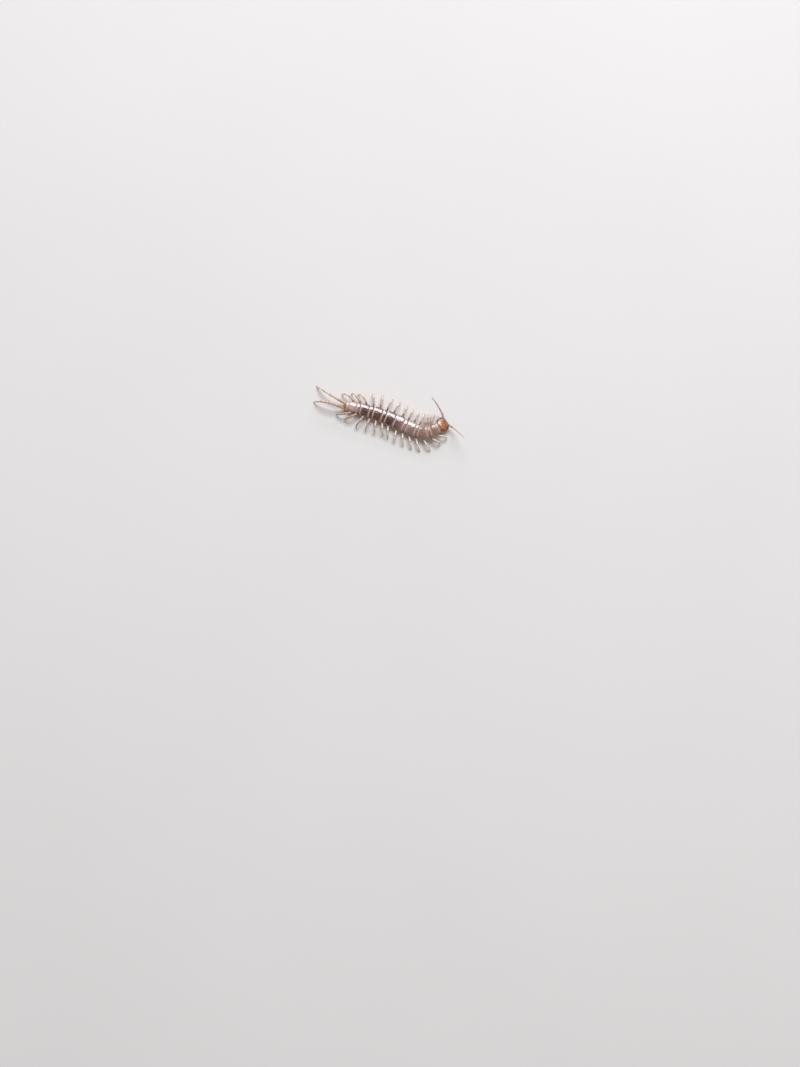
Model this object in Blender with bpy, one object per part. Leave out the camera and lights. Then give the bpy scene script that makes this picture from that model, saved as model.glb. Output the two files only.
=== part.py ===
"""A brown stone centipede as a still, life-size model, standing on its feet.

The animal lies along X with its head at +X, +Y is its left side and +Z is up.
The origin is on the floor under the middle of the whole animal.
Sizes are in millimetres and are turned into metres where each mesh is made.
Every sub-part is one closed solid: the head, two eyes, two antennae, the segment
that carries the poison claws, the two claws, fifteen trunk segments, the tail end
and thirty legs. The trunk follows one smooth line, the spine. A distance along it
is measured backwards from the rear edge of the head.
"""

import math

import bmesh
import bpy
import numpy as np

MM = 0.001
GAP = 0.15  # between neighbouring solids, less than a third of a leg's thickness

# The spine: points from the tip of the tail to the rear edge of the head.
SPINE_POINTS = (
    (-11.10, 2.95, 1.20),
    (-9.20, 2.75, 1.28),
    (-6.10, 2.00, 1.36),
    (-2.30, 0.84, 1.38),
    (1.70, -0.82, 1.38),
    (4.70, -2.24, 1.42),
    (6.90, -3.12, 1.56),
    (8.60, -3.52, 1.82),
    (9.90, -3.42, 2.05),
    (11.00, -2.96, 2.14),
    (11.95, -2.34, 2.08),
)
SPINE_SAMPLES = 900
FLAT_WITHIN = 1.0  # degrees: a face that is warped more is split into flat ones

# Lengths of the tergites, the plates of the back, from the first to the fifteenth.
TERGITE_LENGTHS = (
    1.70, 0.78, 2.05, 0.88, 2.15, 0.98, 2.25, 2.30,
    1.02, 2.25, 1.02, 2.15, 0.98, 1.75, 0.85,
)
CLAW_SEGMENT_LENGTH = 0.40
TAIL_LENGTH = 0.80
SHORT_TERGITE = 1.2  # a tergite under this length is one of the short ones
SHORT_WIDTH_SHARE = 0.95
POINTED_TERGITES = (9, 11, 13)  # their rear corners run out into points
POINT_LENGTH = 0.22
POINT_CLEARANCE = 0.4  # share of a point's length added to the gap behind it
CORNER_START = 0.55  # share of the way to the side edge where a corner begins
CORNER_POWER = 1.6
ROUND_CORNER = -0.12  # the other tergites' rear corners fall back a little

# Full width of the trunk at the middle of these tergites.
WIDTH_STATIONS = (1, 4, 7, 12, 14, 15)
WIDTHS = (2.80, 3.15, 3.35, 2.75, 2.25, 1.95)
WIDEST = 3.35
CLAW_SEGMENT_WIDTH = 2.45
CLAW_SEGMENT_DROP = 0.03  # of its crown below the first tergite's

# The cross-section of a segment, for the widest one, measured from the spine.
CROWN = 0.76
MARGIN = 0.14
RIM_DEPTH = 0.10  # of the tergite's side edge
RIM_INSET = 0.17
BODY_INSET = 0.28  # of the leg-bearing flank inside the tergite's edge
FLANK_TOP = -0.21
FLANK_FOOT = -0.70
FLANK_SLOPE = 0.36  # how far the flank's foot lies inside its top
STERNITE_INSET = 0.46
STERNITE_EDGE = -0.79
BELLY = -0.83
ARC_STEPS = 5  # of the back, from the crown to the side edge
ARC_POWER = 0.9  # under 1, so that the back is a little fuller than an ellipse
BELOW_RIM = np.r_[np.zeros(ARC_STEPS + 2), np.ones(4)]  # marks flank and belly

# The rear edge of each tergite laps over the front of the next one.
LAP = 0.20
LAP_THICKNESS = 0.14
STEP_UP = 0.05
FRONT_WIDTH_SHARE = 0.93
REAR_WIDTH_SHARE = 0.97
FULL_WIDTH = (0.35, 0.75)  # shares of the tergite between which it is widest
STERNITE_BEVEL = 0.05
LIP_STEP = 0.01  # keeps the flank's last two rings apart
SIDE_INSET = 1.4  # how much more than the crown the side edges draw in
LAST_LAP_SHARE = 0.5  # the last tergite laps less, over the tail and last legs

# The head, a flat rounded shield, in its own frame: forward, left and up.
HEAD_LENGTH = 2.95
HEAD_WIDTH = 3.25
HEAD_PITCH = 20  # degrees that it is bent down from the trunk's line
HEAD_REAR = 0.08  # of the head's rear face ahead of the spine's first point
HEAD_LAP = 0.18  # the outline starts this far behind that point
HEAD_POWER = 2.35  # of the superellipse that is its outline
HEAD_SIDES = 26
HEAD_PROFILE = (  # share of the outline, height above the spine
    (0.34, 0.71), (0.64, 0.63), (0.84, 0.49), (0.95, 0.34), (1.00, 0.20),
    (0.99, 0.08), (0.90, -0.06), (0.60, -0.14),
)
HEAD_TOP = 0.73
HEAD_UNDER = -0.15

# Antennae: curves that start at sockets on the front of the head.
SOCKET_FORWARD = 2.20
SOCKET_ASIDE = 0.80
SOCKET_HEIGHT = 0.20
SOCKET_RADIUS = 0.30
SOCKET_LENGTH = 0.62
SOCKET_SIDES = 8
ANTENNA_LENGTH = 7.2
ANTENNA_ARTICLES = 19
ANTENNA_ROOT = 0.26
ANTENNA_TIP = 0.11
ANTENNA_TAPER = 0.8  # power of the share of its length: it thins early
ANTENNA_NECK_SHARE = 0.80
ANTENNA_SIDES = 6
ANTENNA_STATIONS = (0.0, 0.25, 0.55, 1.0)  # shares of its length
ANTENNA_YAW = {  # degrees from the head's heading, towards the antenna's own side
    "left": (64, 94, 100, 102),
    "right": (60, 86, 90, 90),
}
ANTENNA_CLIMB = {
    "left": (16, 52, 60, 48),
    "right": (14, 46, 54, 44),
}

# Eyes: low ovals of small lenses, sunk into the sides of the head.
EYE_BEARING = 74  # degrees from straight ahead
EYE_SHARE = 0.90  # of the head's outline
EYE_HEIGHT = 0.40
EYE_RADII = (0.32, 0.17, 0.16)
EYE_GAP = 0.12
EYE_TILT = 52  # degrees that the oval leans outwards
EYE_SIDES = 10
EYE_LATITUDES = (-50, -15, 20, 52)

# The plate that carries the poison claws, under the head.
PLATE_TOP = -0.31
PLATE_STATIONS = (  # distance ahead of the head's rear edge, half width
    (0.04, 1.12), (0.38, 1.18), (1.13, 0.56), (1.28, 0.48),
)
PLATE_EDGES = (0.05, 0.08, 0.08, 0.10)  # bevels of its side: in, down, up, in
CLAW_FACET = (0.74, 0.89)  # middle of the plate's slanting side: forward, aside
CLAW_HEIGHT = -0.56
CLAW_LENGTH = 2.75
CLAW_SIDES = 8
CLAW_TURN = 135  # degrees that it curls inwards from root to tip
CLAW_CURL = 1.15  # power of the share of its length: it curls more towards the tip
CLAW_STEPS = 60
CLAW_PROFILE = (  # share of the length, radius in the plane of the curl
    (0.0, 0.42), (0.14, 0.41), (0.30, 0.33), (0.40, 0.30), (0.48, 0.25),
    (0.56, 0.25), (0.62, 0.19), (0.78, 0.13), (0.90, 0.08), (1.0, 0.03),
)
CLAW_FLATNESS = 0.62

# Legs: each starts at a flank, arches up and comes down to the floor.
LEG_SIDES = 6
LAST_LEG_SIDES = 8
COXA_LENGTH = 0.48
COXA_RADIUS = 0.28
COXA_LONG_RADIUS = 0.36
COXA_SHORT_RADIUS = 0.25
COXA_SHOULDER = 0.35  # share of its length where it starts to narrow
COXA_NARROWING = (0.92, 0.88)
ARTICLE_SHARES = (0.25, 0.23, 0.21, 0.17, 0.14)  # prefemur to second tarsus
ARTICLE_RISE = (0.0, -0.28, -0.62, -0.86, -1.0)  # shares of the leg's whole bend
LEG_PROFILE = (  # article, share along it, radius
    (0, 0.00, 0.220), (0, 0.28, 0.260), (0, 0.82, 0.285),
    (1, 0.00, 0.215), (1, 0.20, 0.250), (1, 0.84, 0.270),
    (2, 0.00, 0.195), (2, 0.20, 0.225), (2, 0.86, 0.245),
    (3, 0.00, 0.165), (3, 0.22, 0.185), (3, 0.88, 0.180),
    (4, 0.00, 0.135), (4, 0.30, 0.145), (4, 0.82, 0.115),
)
KNEE_ROUNDING = 0.25  # of the radius: how far a bend's corner is drawn inwards
FOOT_RADIUS = 0.10
FRONT_LEG_LENGTH = 3.9  # without the coxa
REAR_LEG_LENGTH = 5.7
LAST_LEG_LENGTH = 9.4
LEG_GIRTHS = (0.93, 1.05)  # of the first and the last walking leg
LAST_LEG_GIRTH = 1.22
WALKING_LEGS = 14  # on each side
WALKING_BENDS = (0.2, 4.0)  # least and most bend of a leg, in radians
TRAILING_BENDS = (0.05, 2.5)
STEEPEST_CLIMB = 1.5
HALVINGS = 40

# Where each foot stands, from the first leg to the fourteenth: the swing, in
# degrees forward of straight out from the body, and the reach from the coxa's end.
LEFT_SWINGS = (48, 25, 5, 1, -1, -3, -7, 5, 1, -11, -22, -58, -62, -73)
LEFT_REACHES = (
    3.0, 3.2, 3.2, 3.1, 2.9, 2.8, 3.4, 3.2, 3.4, 3.7, 3.2, 3.5, 3.4, 3.9,
)
RIGHT_SWINGS = (58, 54, 43, 38, 35, 28, 14, 22, 26, 11, -5, -25, -60, -79)
RIGHT_REACHES = (
    2.4, 2.5, 3.3, 3.5, 3.4, 3.1, 3.0, 2.9, 2.9, 3.0, 3.0, 3.0, 3.3, 4.1,
)
LEG_BOW = 8  # degrees that a leg turns backwards between its root and its foot
SWING_SPREAD = 0.6  # share of its swing that a leg gains between root and foot

# The last legs trail behind: bearing from straight back, outwards, and reach.
LAST_BEARINGS = {"left": (29, -18), "right": (-6, 14)}
LAST_REACHES = {"left": 8.2, "right": 7.6}
LAST_COXA_ASIDE = 0.66
LAST_COXA_HEIGHT = -0.38
LAST_COXA_RADIUS = 0.28

# The tail end: a small plate over a narrow stalk, between the last legs.
TAIL_CUT = (  # left half of its cross-section: aside, above the spine
    (0.0, 0.31), (0.26, 0.27), (0.42, 0.18), (0.42, 0.10), (0.18, 0.04),
    (0.16, -0.36), (0.09, -0.48), (0.0, -0.50),
)
TAIL_SHARES = ((0.0, 1.0), (0.40, 0.88), (0.75, 0.66), (0.94, 0.40))
TAIL_MIDDLE = -0.02

# Finishes: colour, roughness.
HEAD_BROWN = ((0.44, 0.17, 0.05), 0.30)
TRUNK_BROWN = ((0.24, 0.10, 0.075), 0.28)
LEG_CREAM = ((0.62, 0.40, 0.28), 0.38)
LAST_LEG_TAN = ((0.60, 0.32, 0.17), 0.36)
ANTENNA_PINK = ((0.50, 0.27, 0.22), 0.42)
CLAW_CHESTNUT = ((0.30, 0.10, 0.04), 0.25)
EYE_BLACK = ((0.02, 0.015, 0.015), 0.18)


def clear_scene():
    """Removes whatever the file holds before the model is made."""
    for found in list(bpy.data.objects):
        bpy.data.objects.remove(found)


def material(name, finish):
    """A plain material of one colour and roughness."""
    colour, roughness = finish
    made = bpy.data.materials.new(name)
    made.use_nodes = True
    shader = made.node_tree.nodes["Principled BSDF"]
    shader.inputs["Base Color"].default_value = (*colour, 1.0)
    shader.inputs["Roughness"].default_value = roughness
    return made


def unit(vector):
    """The vector, or each row of an array, at length one."""
    vector = np.asarray(vector, float)
    return vector / np.linalg.norm(vector, axis=-1, keepdims=True)


def natural_cubic(knots, values, at):
    """A natural cubic spline through values at the knots, read at other places."""
    n = len(knots)
    step = np.diff(knots)
    system = np.eye(n)
    right = np.zeros((n, values.shape[1]))
    slope = np.diff(values, axis=0) / step[:, None]
    for i in range(1, n - 1):
        system[i, i - 1 : i + 2] = step[i - 1], 2 * (step[i - 1] + step[i]), step[i]
        right[i] = 6 * (slope[i] - slope[i - 1])
    bend = np.linalg.solve(system, right)
    i = np.clip(np.searchsorted(knots, at) - 1, 0, n - 2)
    h = step[i][:, None]
    a = (knots[i + 1] - at)[:, None] / h
    b = 1 - a
    curve = ((a**3 - a) * bend[i] + (b**3 - b) * bend[i + 1]) * h**2 / 6
    return a * values[i] + b * values[i + 1] + curve


class Spine:
    """The line that the trunk follows, measured backwards from the head's rear edge."""

    def __init__(self):
        points = np.array(SPINE_POINTS[::-1], float)
        knots = np.r_[0, np.cumsum(np.linalg.norm(np.diff(points, axis=0), axis=1))]
        at = np.linspace(0, knots[-1], SPINE_SAMPLES)
        self.line = natural_cubic(knots, points, at)
        gaps = np.linalg.norm(np.diff(self.line, axis=0), axis=1)
        self.length = np.r_[0, np.cumsum(gaps)]
        self.ahead = unit(-np.gradient(self.line, axis=0))

    def frame(self, back):
        """Point, forward, left and up at each distance back from the head."""
        back = np.atleast_1d(np.asarray(back, float))
        inside = np.clip(back, 0, self.length[-1])
        point = np.stack([np.interp(inside, self.length, c) for c in self.line.T], -1)
        ahead = unit(
            np.stack([np.interp(inside, self.length, c) for c in self.ahead.T], -1)
        )
        point = point - ahead * (back - inside)[:, None]
        left = unit(np.cross((0, 0, 1), ahead))
        return point, ahead, left, np.cross(ahead, left)

    def place(self, back, aside, above):
        """World points of a ring given by distances back, left and up of the spine."""
        point, _, left, up = self.frame(back)
        return point + left * np.asarray(aside)[:, None] + up * np.asarray(above)[:, None]


SPINE = Spine()


def new_object(name, mesh, finish):
    """A named object of a finished mesh, with its material."""
    mesh.materials.append(finish)
    made = bpy.data.objects.new(name, mesh)
    bpy.context.scene.collection.objects.link(made)
    return made


def lofted(name, rings, finish, first_tip=None, last_tip=None):
    """A closed body through rings of points, with flat caps or tips at its ends."""
    shape = bmesh.new()
    loops = [[shape.verts.new(np.asarray(p) * MM) for p in ring] for ring in rings]
    count = len(loops[0])
    for low, high in zip(loops, loops[1:]):
        for i in range(count):
            j = (i + 1) % count
            shape.faces.new((low[i], low[j], high[j], high[i]))
    for loop, tip in ((loops[0][::-1], first_tip), (loops[-1], last_tip)):
        if tip is None:
            shape.faces.new(loop)
            continue
        point = shape.verts.new(np.asarray(tip) * MM)
        for i in range(count):
            shape.faces.new((loop[i], loop[(i + 1) % count], point))
    limit = math.radians(FLAT_WITHIN)
    bmesh.ops.connect_verts_nonplanar(shape, angle_limit=limit, faces=shape.faces)
    if shape.calc_volume(signed=True) < 0:
        bmesh.ops.reverse_faces(shape, faces=shape.faces)
    mesh = bpy.data.meshes.new(name)
    shape.to_mesh(mesh)
    shape.free()
    mesh.shade_smooth()
    mesh.set_sharp_from_angle(angle=math.radians(40))
    return new_object(name, mesh, finish)


def joined(target, other, operation):
    """Applies a Boolean of another object to the target and removes the other."""
    change = target.modifiers.new(operation, "BOOLEAN")
    change.object = other
    change.operation = operation
    bpy.context.view_layer.update()
    graph = bpy.context.evaluated_depsgraph_get()
    mesh = bpy.data.meshes.new_from_object(target.evaluated_get(graph))
    target.modifiers.clear()
    target.data = mesh
    bpy.data.objects.remove(other)


class Segment:
    """The sizes and place of one trunk segment, from its number."""

    def __init__(self, number, front):
        length = TERGITE_LENGTHS[number - 1]
        self.number = number
        self.front = front
        self.rear = front + length
        width = np.interp(number, WIDTH_STATIONS, WIDTHS)
        self.tall = math.sqrt(width / WIDEST)
        self.half_body = width / 2 - BODY_INSET
        if length < SHORT_TERGITE:
            width *= SHORT_WIDTH_SHARE
        self.half_width = width / 2
        self.corner = POINT_LENGTH if number in POINTED_TERGITES else ROUND_CORNER
        self.leg_at = (self.front + self.rear) / 2
        self.long = length >= SHORT_TERGITE

    def crown(self):
        """Height of the back above the spine."""
        return CROWN * self.tall

    def overhang(self):
        """How far each point of the rear edge laps over the next segment."""
        share = LAST_LAP_SHARE if self.number == len(TERGITE_LENGTHS) else 1.0
        return overhang(self.corner) * share


def trunk_segments():
    """All fifteen segments in a row behind the claw segment."""
    found = []
    front = CLAW_SEGMENT_LENGTH
    for number in range(1, len(TERGITE_LENGTHS) + 1):
        found.append(Segment(number, front))
        front = found[-1].rear
    return found


def half_ring(half_width, crown, half_body, tall, inset=0.0):
    """Left half of a cross-section, from the crown down to the belly's middle."""
    turn = np.linspace(0, math.pi / 2, ARC_STEPS + 1)
    aside = (half_width - SIDE_INSET * inset) * np.sin(turn)
    above = MARGIN * tall + (crown - MARGIN * tall - inset) * np.cos(turn) ** ARC_POWER
    under = (
        (half_width - RIM_INSET - inset, MARGIN * tall - RIM_DEPTH),
        (half_body - inset / 2, FLANK_TOP * tall - inset / 2),
        (half_body - FLANK_SLOPE, FLANK_FOOT * tall),
        (half_body - STERNITE_INSET, STERNITE_EDGE * tall),
        (0.0, BELLY * tall),
    )
    return np.concatenate([np.stack([aside, above], 1), under])


def whole_ring(half):
    """Both sides of a cross-section, as one closed loop of points."""
    mirrored = half[-2:0:-1] * (-1, 1)
    return np.concatenate([half, mirrored])


def overhang(corner):
    """Backward reach of a tergite's rear edge at each point of the half ring."""
    turn = np.linspace(0, 1, ARC_STEPS + 1)
    along = np.clip((turn - CORNER_START) / (1 - CORNER_START), 0, 1)
    back = LAP + corner * along**CORNER_POWER
    return np.concatenate([back, back[-1:], np.zeros(4)])


def both_sides(half):
    """A value at each point of a half ring, given to both sides of the loop."""
    return np.concatenate([half, half[-2:0:-1]])


def segment_solid(segment, before, finish):
    """One trunk segment: tergite, flanks and sternite in one closed body."""
    under = both_sides(BELOW_RIM)
    lap_before = both_sides(overhang(before["corner"]))
    lap = both_sides(segment.overhang())
    start = segment.front + GAP / 2
    end = segment.rear - GAP / 2
    drop = LAP_THICKNESS + GAP
    tall = segment.tall

    def ring(half_width, crown, inset=0.0):
        return whole_ring(half_ring(half_width, crown, segment.half_body, tall, inset))

    clear = GAP + POINT_CLEARANCE * np.maximum(lap_before - LAP, 0)
    rise = np.where(under > 0, start + STERNITE_BEVEL, segment.front + clear + lap_before)
    full = rise + STEP_UP
    edge = np.where(under > 0, end - STERNITE_BEVEL, segment.rear + lap)
    tucked = ring(before["half_width"], before["crown"], drop)
    crown = segment.crown()
    wide = segment.half_width
    layout = (
        (np.full_like(rise, start), tucked),
        (rise, tucked),
        (full, ring(wide * FRONT_WIDTH_SHARE, crown)),
        (full + FULL_WIDTH[0] * (edge - full), ring(wide, crown)),
        (full + FULL_WIDTH[1] * (edge - full), ring(wide, crown)),
        (edge, ring(wide * REAR_WIDTH_SHARE, crown)),
        (edge + LIP_STEP * under, ring(wide * REAR_WIDTH_SHARE, crown, LAP_THICKNESS)),
        (np.full_like(rise, end), ring(wide * REAR_WIDTH_SHARE, crown, LAP_THICKNESS)),
    )
    rings = [SPINE.place(back, cut[:, 0], cut[:, 1]) for back, cut in layout]
    return lofted(f"trunk_segment_{segment.number:02d}", rings, finish)


def claw_segment_solid(finish):
    """The short segment behind the head, with the plate that runs under the head."""
    half_width = CLAW_SEGMENT_WIDTH / 2
    half_body = PLATE_STATIONS[0][1]
    end = CLAW_SEGMENT_LENGTH - GAP / 2
    crown = CROWN * math.sqrt(WIDTHS[0] / WIDEST) - CLAW_SEGMENT_DROP
    lap = both_sides(overhang(0.0))
    under = both_sides(BELOW_RIM)
    full = whole_ring(half_ring(half_width, crown, half_body, 1.0))
    rear = whole_ring(half_ring(half_width, crown, half_body, 1.0, LAP_THICKNESS))
    back = np.where(under > 0, end - STERNITE_BEVEL, CLAW_SEGMENT_LENGTH + lap)
    layout = (
        (np.full_like(back, GAP / 2), full),
        (back, full),
        (back + LIP_STEP * under, rear),
        (np.full_like(back, end), rear),
    )
    rings = [SPINE.place(at, cut[:, 0], cut[:, 1]) for at, cut in layout]
    made = lofted("claw_segment", rings, finish)
    top_in, top_down, foot_up, foot_in = PLATE_EDGES
    rings = []
    for ahead, half in PLATE_STATIONS:
        cut = np.array(
            (
                (half - top_in, PLATE_TOP),
                (half, PLATE_TOP - top_down),
                (half, STERNITE_EDGE + foot_up),
                (half - foot_in, STERNITE_EDGE),
            )
        )
        loop = np.concatenate([cut, cut[::-1] * (-1, 1)])
        rings.append(on_head(np.insert(loop, 0, ahead, axis=1)))
    joined(made, lofted("plate", rings, finish), "UNION")
    return {"half_width": half_width, "crown": crown, "corner": 0.0}


def head_frame():
    """Origin and axes of the head: forward, left and up, bent down from the trunk."""
    point, ahead, left, up = (v[0] for v in SPINE.frame(0.0))
    pitch = math.radians(HEAD_PITCH)
    forward = ahead * math.cos(pitch) - up * math.sin(pitch)
    return point, forward, left, np.cross(forward, left)


def on_head(points):
    """World points of places given in the head's own frame."""
    origin, forward, left, up = head_frame()
    points = np.atleast_2d(points)
    axes = np.stack([forward, left, up])
    return origin + points @ axes


def head_outline(bearing, share=1.0):
    """Forward and left of the head's outline at bearings from straight ahead."""
    half_length = HEAD_LENGTH / 2
    half_width = HEAD_WIDTH / 2
    ahead = np.cos(bearing)
    aside = np.sin(bearing)
    reach = (
        np.abs(ahead / half_length) ** HEAD_POWER + np.abs(aside / half_width) ** HEAD_POWER
    ) ** (-1 / HEAD_POWER)
    return half_length - HEAD_LAP + share * reach * ahead, share * reach * aside


def tube_rings(points, directions, radii, sides, level=(0, 0, 1)):
    """Rings of a tube, carried along it without a twist.

    The first ring starts across the level and the direction. Each radius is one
    number or a pair, across and over.
    """
    turn = np.arange(sides)[:, None] * 2 * math.pi / sides
    across = np.cross(level, directions[0])
    rings = []
    for point, direction, radius in zip(points, directions, radii):
        across = unit(across - direction * (across @ direction))
        over = np.cross(direction, across)
        wide, high = radius if np.ndim(radius) else (radius, radius)
        rings.append(point + wide * np.cos(turn) * across + high * np.sin(turn) * over)
    return rings


def antenna_course(side):
    """Points, directions and radii of the rings along an antenna."""
    sign = 1 if side == "left" else -1
    count = 2 * ANTENNA_ARTICLES
    share = np.linspace(0, 1, count + 1)
    yaw = np.radians(np.interp(share, ANTENNA_STATIONS, ANTENNA_YAW[side])) * sign
    climb = np.radians(np.interp(share, ANTENNA_STATIONS, ANTENNA_CLIMB[side]))
    _, forward, _, _ = head_frame()
    level = unit((forward[0], forward[1], 0))
    left = np.cross((0, 0, 1), level)
    run = np.cos(climb)[:, None]
    direction = (
        run * np.cos(yaw)[:, None] * level
        + run * np.sin(yaw)[:, None] * left
        + np.sin(climb)[:, None] * np.array((0, 0, 1.0))
    )
    socket = on_head((SOCKET_FORWARD, sign * SOCKET_ASIDE, SOCKET_HEIGHT))[0]
    start = socket + direction[0] * (SOCKET_LENGTH + GAP)
    step = ANTENNA_LENGTH / count
    middle = (direction[1:] + direction[:-1]) / 2
    points = start + np.r_[np.zeros((1, 3)), np.cumsum(middle * step, axis=0)]
    radius = ANTENNA_ROOT + (ANTENNA_TIP - ANTENNA_ROOT) * share**ANTENNA_TAPER
    radius[2::2] *= ANTENNA_NECK_SHARE
    return socket, points, direction, radius


def antenna_solid(side, finish):
    """One antenna: a tapering row of beads."""
    _, points, direction, radius = antenna_course(side)
    rings = tube_rings(points, direction, radius, ANTENNA_SIDES)
    return lofted(f"antenna_{side}", rings, finish)


def eye_frame(side):
    """Centre and axes of an eye: along the head's edge, outwards and up."""
    sign = 1 if side == "left" else -1
    bearing = math.radians(EYE_BEARING)
    forward, aside = head_outline(bearing, EYE_SHARE)
    centre = on_head((forward, sign * aside, EYE_HEIGHT))[0]
    _, head_forward, left, up = head_frame()
    out = unit(math.cos(bearing) * head_forward + sign * math.sin(bearing) * left)
    along = np.cross(up, out)
    tilt = math.radians(EYE_TILT)
    facing = math.cos(tilt) * up + math.sin(tilt) * out
    return centre, along, np.cross(facing, along), facing


def eye_solid(name, side, grow, finish):
    """An eye's oval, or the pocket for it when it is grown by the gap."""
    centre, along, across, facing = eye_frame(side)
    radii = np.array(EYE_RADII) + grow
    turn = np.arange(EYE_SIDES)[:, None] * 2 * math.pi / EYE_SIDES
    oval = radii[0] * np.cos(turn) * along + radii[1] * np.sin(turn) * across
    rings = []
    for height in np.radians(EYE_LATITUDES):
        rings.append(centre + math.cos(height) * oval + radii[2] * math.sin(height) * facing)
    low, high = centre - radii[2] * facing, centre + radii[2] * facing
    return lofted(name, rings, finish, low, high)


def head_solid(finish):
    """The head shield with its two antenna sockets and the pockets for the eyes."""
    bearing = np.arange(HEAD_SIDES) * 2 * math.pi / HEAD_SIDES
    pitch = math.radians(HEAD_PITCH)
    rings = []
    for share, height in HEAD_PROFILE:
        forward, aside = head_outline(bearing, share)
        rear = (HEAD_REAR - height * math.sin(pitch)) / math.cos(pitch)
        forward = np.maximum(forward, rear)
        rings.append(on_head(np.stack([forward, aside, np.full_like(forward, height)], 1)))
    top = on_head((HEAD_LENGTH / 2, 0, HEAD_TOP))[0]
    under = on_head((HEAD_LENGTH / 2, 0, HEAD_UNDER))[0]
    head = lofted("head", rings, finish, top, under)
    for side in ("left", "right"):
        socket, _, direction, _ = antenna_course(side)
        ends = [socket, socket + direction[0] * SOCKET_LENGTH]
        radii = (SOCKET_RADIUS, ANTENNA_ROOT)
        stub = tube_rings(ends, [direction[0]] * 2, radii, SOCKET_SIDES)
        joined(head, lofted("socket", stub, finish), "UNION")
        joined(head, eye_solid("pocket", side, EYE_GAP, finish), "DIFFERENCE")
    return head


def claw_solid(side, finish):
    """One poison claw: a thick root that curls inwards to a sharp tip."""
    sign = 1 if side == "left" else -1
    (rear_x, rear_y), (front_x, front_y) = PLATE_STATIONS[1], PLATE_STATIONS[2]
    outward = math.atan2(front_x - rear_x, rear_y - front_y)
    share, radius = np.array(CLAW_PROFILE).T
    fine = np.linspace(0, 1, CLAW_STEPS + 1)
    heading = outward - math.radians(CLAW_TURN) * fine**CLAW_CURL
    course = np.stack([np.cos(heading), np.sin(heading)], 1) * CLAW_LENGTH / CLAW_STEPS
    path = np.r_[np.zeros((1, 2)), np.cumsum((course[1:] + course[:-1]) / 2, axis=0)]
    path = path + np.array(CLAW_FACET) + GAP * np.array((math.cos(outward), math.sin(outward)))
    point, ahead, left, up = head_frame()

    def placed(forward, aside, above):
        return forward[:, None] * ahead + sign * aside[:, None] * left + above[:, None] * up

    forward, aside = (np.interp(share, fine, c) for c in path.T)
    turn = np.interp(share, fine, heading)
    centres = point + placed(forward, aside, np.full_like(share, CLAW_HEIGHT))
    directions = placed(np.cos(turn), np.sin(turn), np.zeros_like(turn))
    radii = [(r, r * CLAW_FLATNESS) for r in radius]
    rings = tube_rings(centres, directions, radii, CLAW_SIDES, level=up)
    return lofted(f"poison_claw_{side}", rings, finish)


def leg_chain(root, heading, bow, length, reach, bend_limits):
    """Joint points of a leg whose foot is on the floor at the stated reach.

    The five free articles share one bend. Its size and the climb of the first of
    them are found by halving, so that the foot is at height zero and at the reach.
    """
    lengths = np.array(ARTICLE_SHARES) * length
    yaw = heading + bow * (np.arange(5) / 4 - 0.5)

    def plan(climb, bend):
        angles = climb + bend * np.array(ARTICLE_RISE)
        return (lengths * np.cos(angles)).sum(), (lengths * np.sin(angles)).sum(), angles

    def grounded(bend):
        low, high = -STEEPEST_CLIMB, STEEPEST_CLIMB
        for _ in range(HALVINGS):
            climb = (low + high) / 2
            if plan(climb, bend)[1] + root[2] > 0:
                high = climb
            else:
                low = climb
        return climb

    few, many = bend_limits
    for _ in range(HALVINGS):
        bend = (few + many) / 2
        if plan(grounded(bend), bend)[0] > reach:
            few = bend
        else:
            many = bend
    angles = plan(grounded(bend), bend)[2]
    run = np.cos(angles)
    steps = np.stack([run * np.cos(yaw), run * np.sin(yaw), np.sin(angles)], 1)
    joints = root + np.r_[np.zeros((1, 3)), np.cumsum(steps * lengths[:, None], axis=0)]
    return joints, steps


def leg_solid(name, root, direction, coxa_radii, joints, steps, girth, sides, finish):
    """One leg from its coxa to the flat under its foot."""
    points = [root, root + direction * COXA_LENGTH * COXA_SHOULDER]
    ways = [direction, direction]
    radii = [coxa_radii, coxa_radii * np.array(COXA_NARROWING)]
    for article, share, radius in LEG_PROFILE:
        point = joints[article] + (joints[article + 1] - joints[article]) * share
        step = steps[article]
        before = direction if article == 0 else steps[article - 1]
        points.append(point if share else point + KNEE_ROUNDING * radius * (step - before))
        ways.append(step if share else unit(step + before))
        radii.append(np.array((radius, radius)) * girth)
    points.append(joints[-1] * (1, 1, 0))
    ways.append(np.array((0.0, 0.0, -1.0)))
    radii.append((FOOT_RADIUS, FOOT_RADIUS))
    return lofted(name, tube_rings(points, ways, radii, sides), finish)


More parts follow.
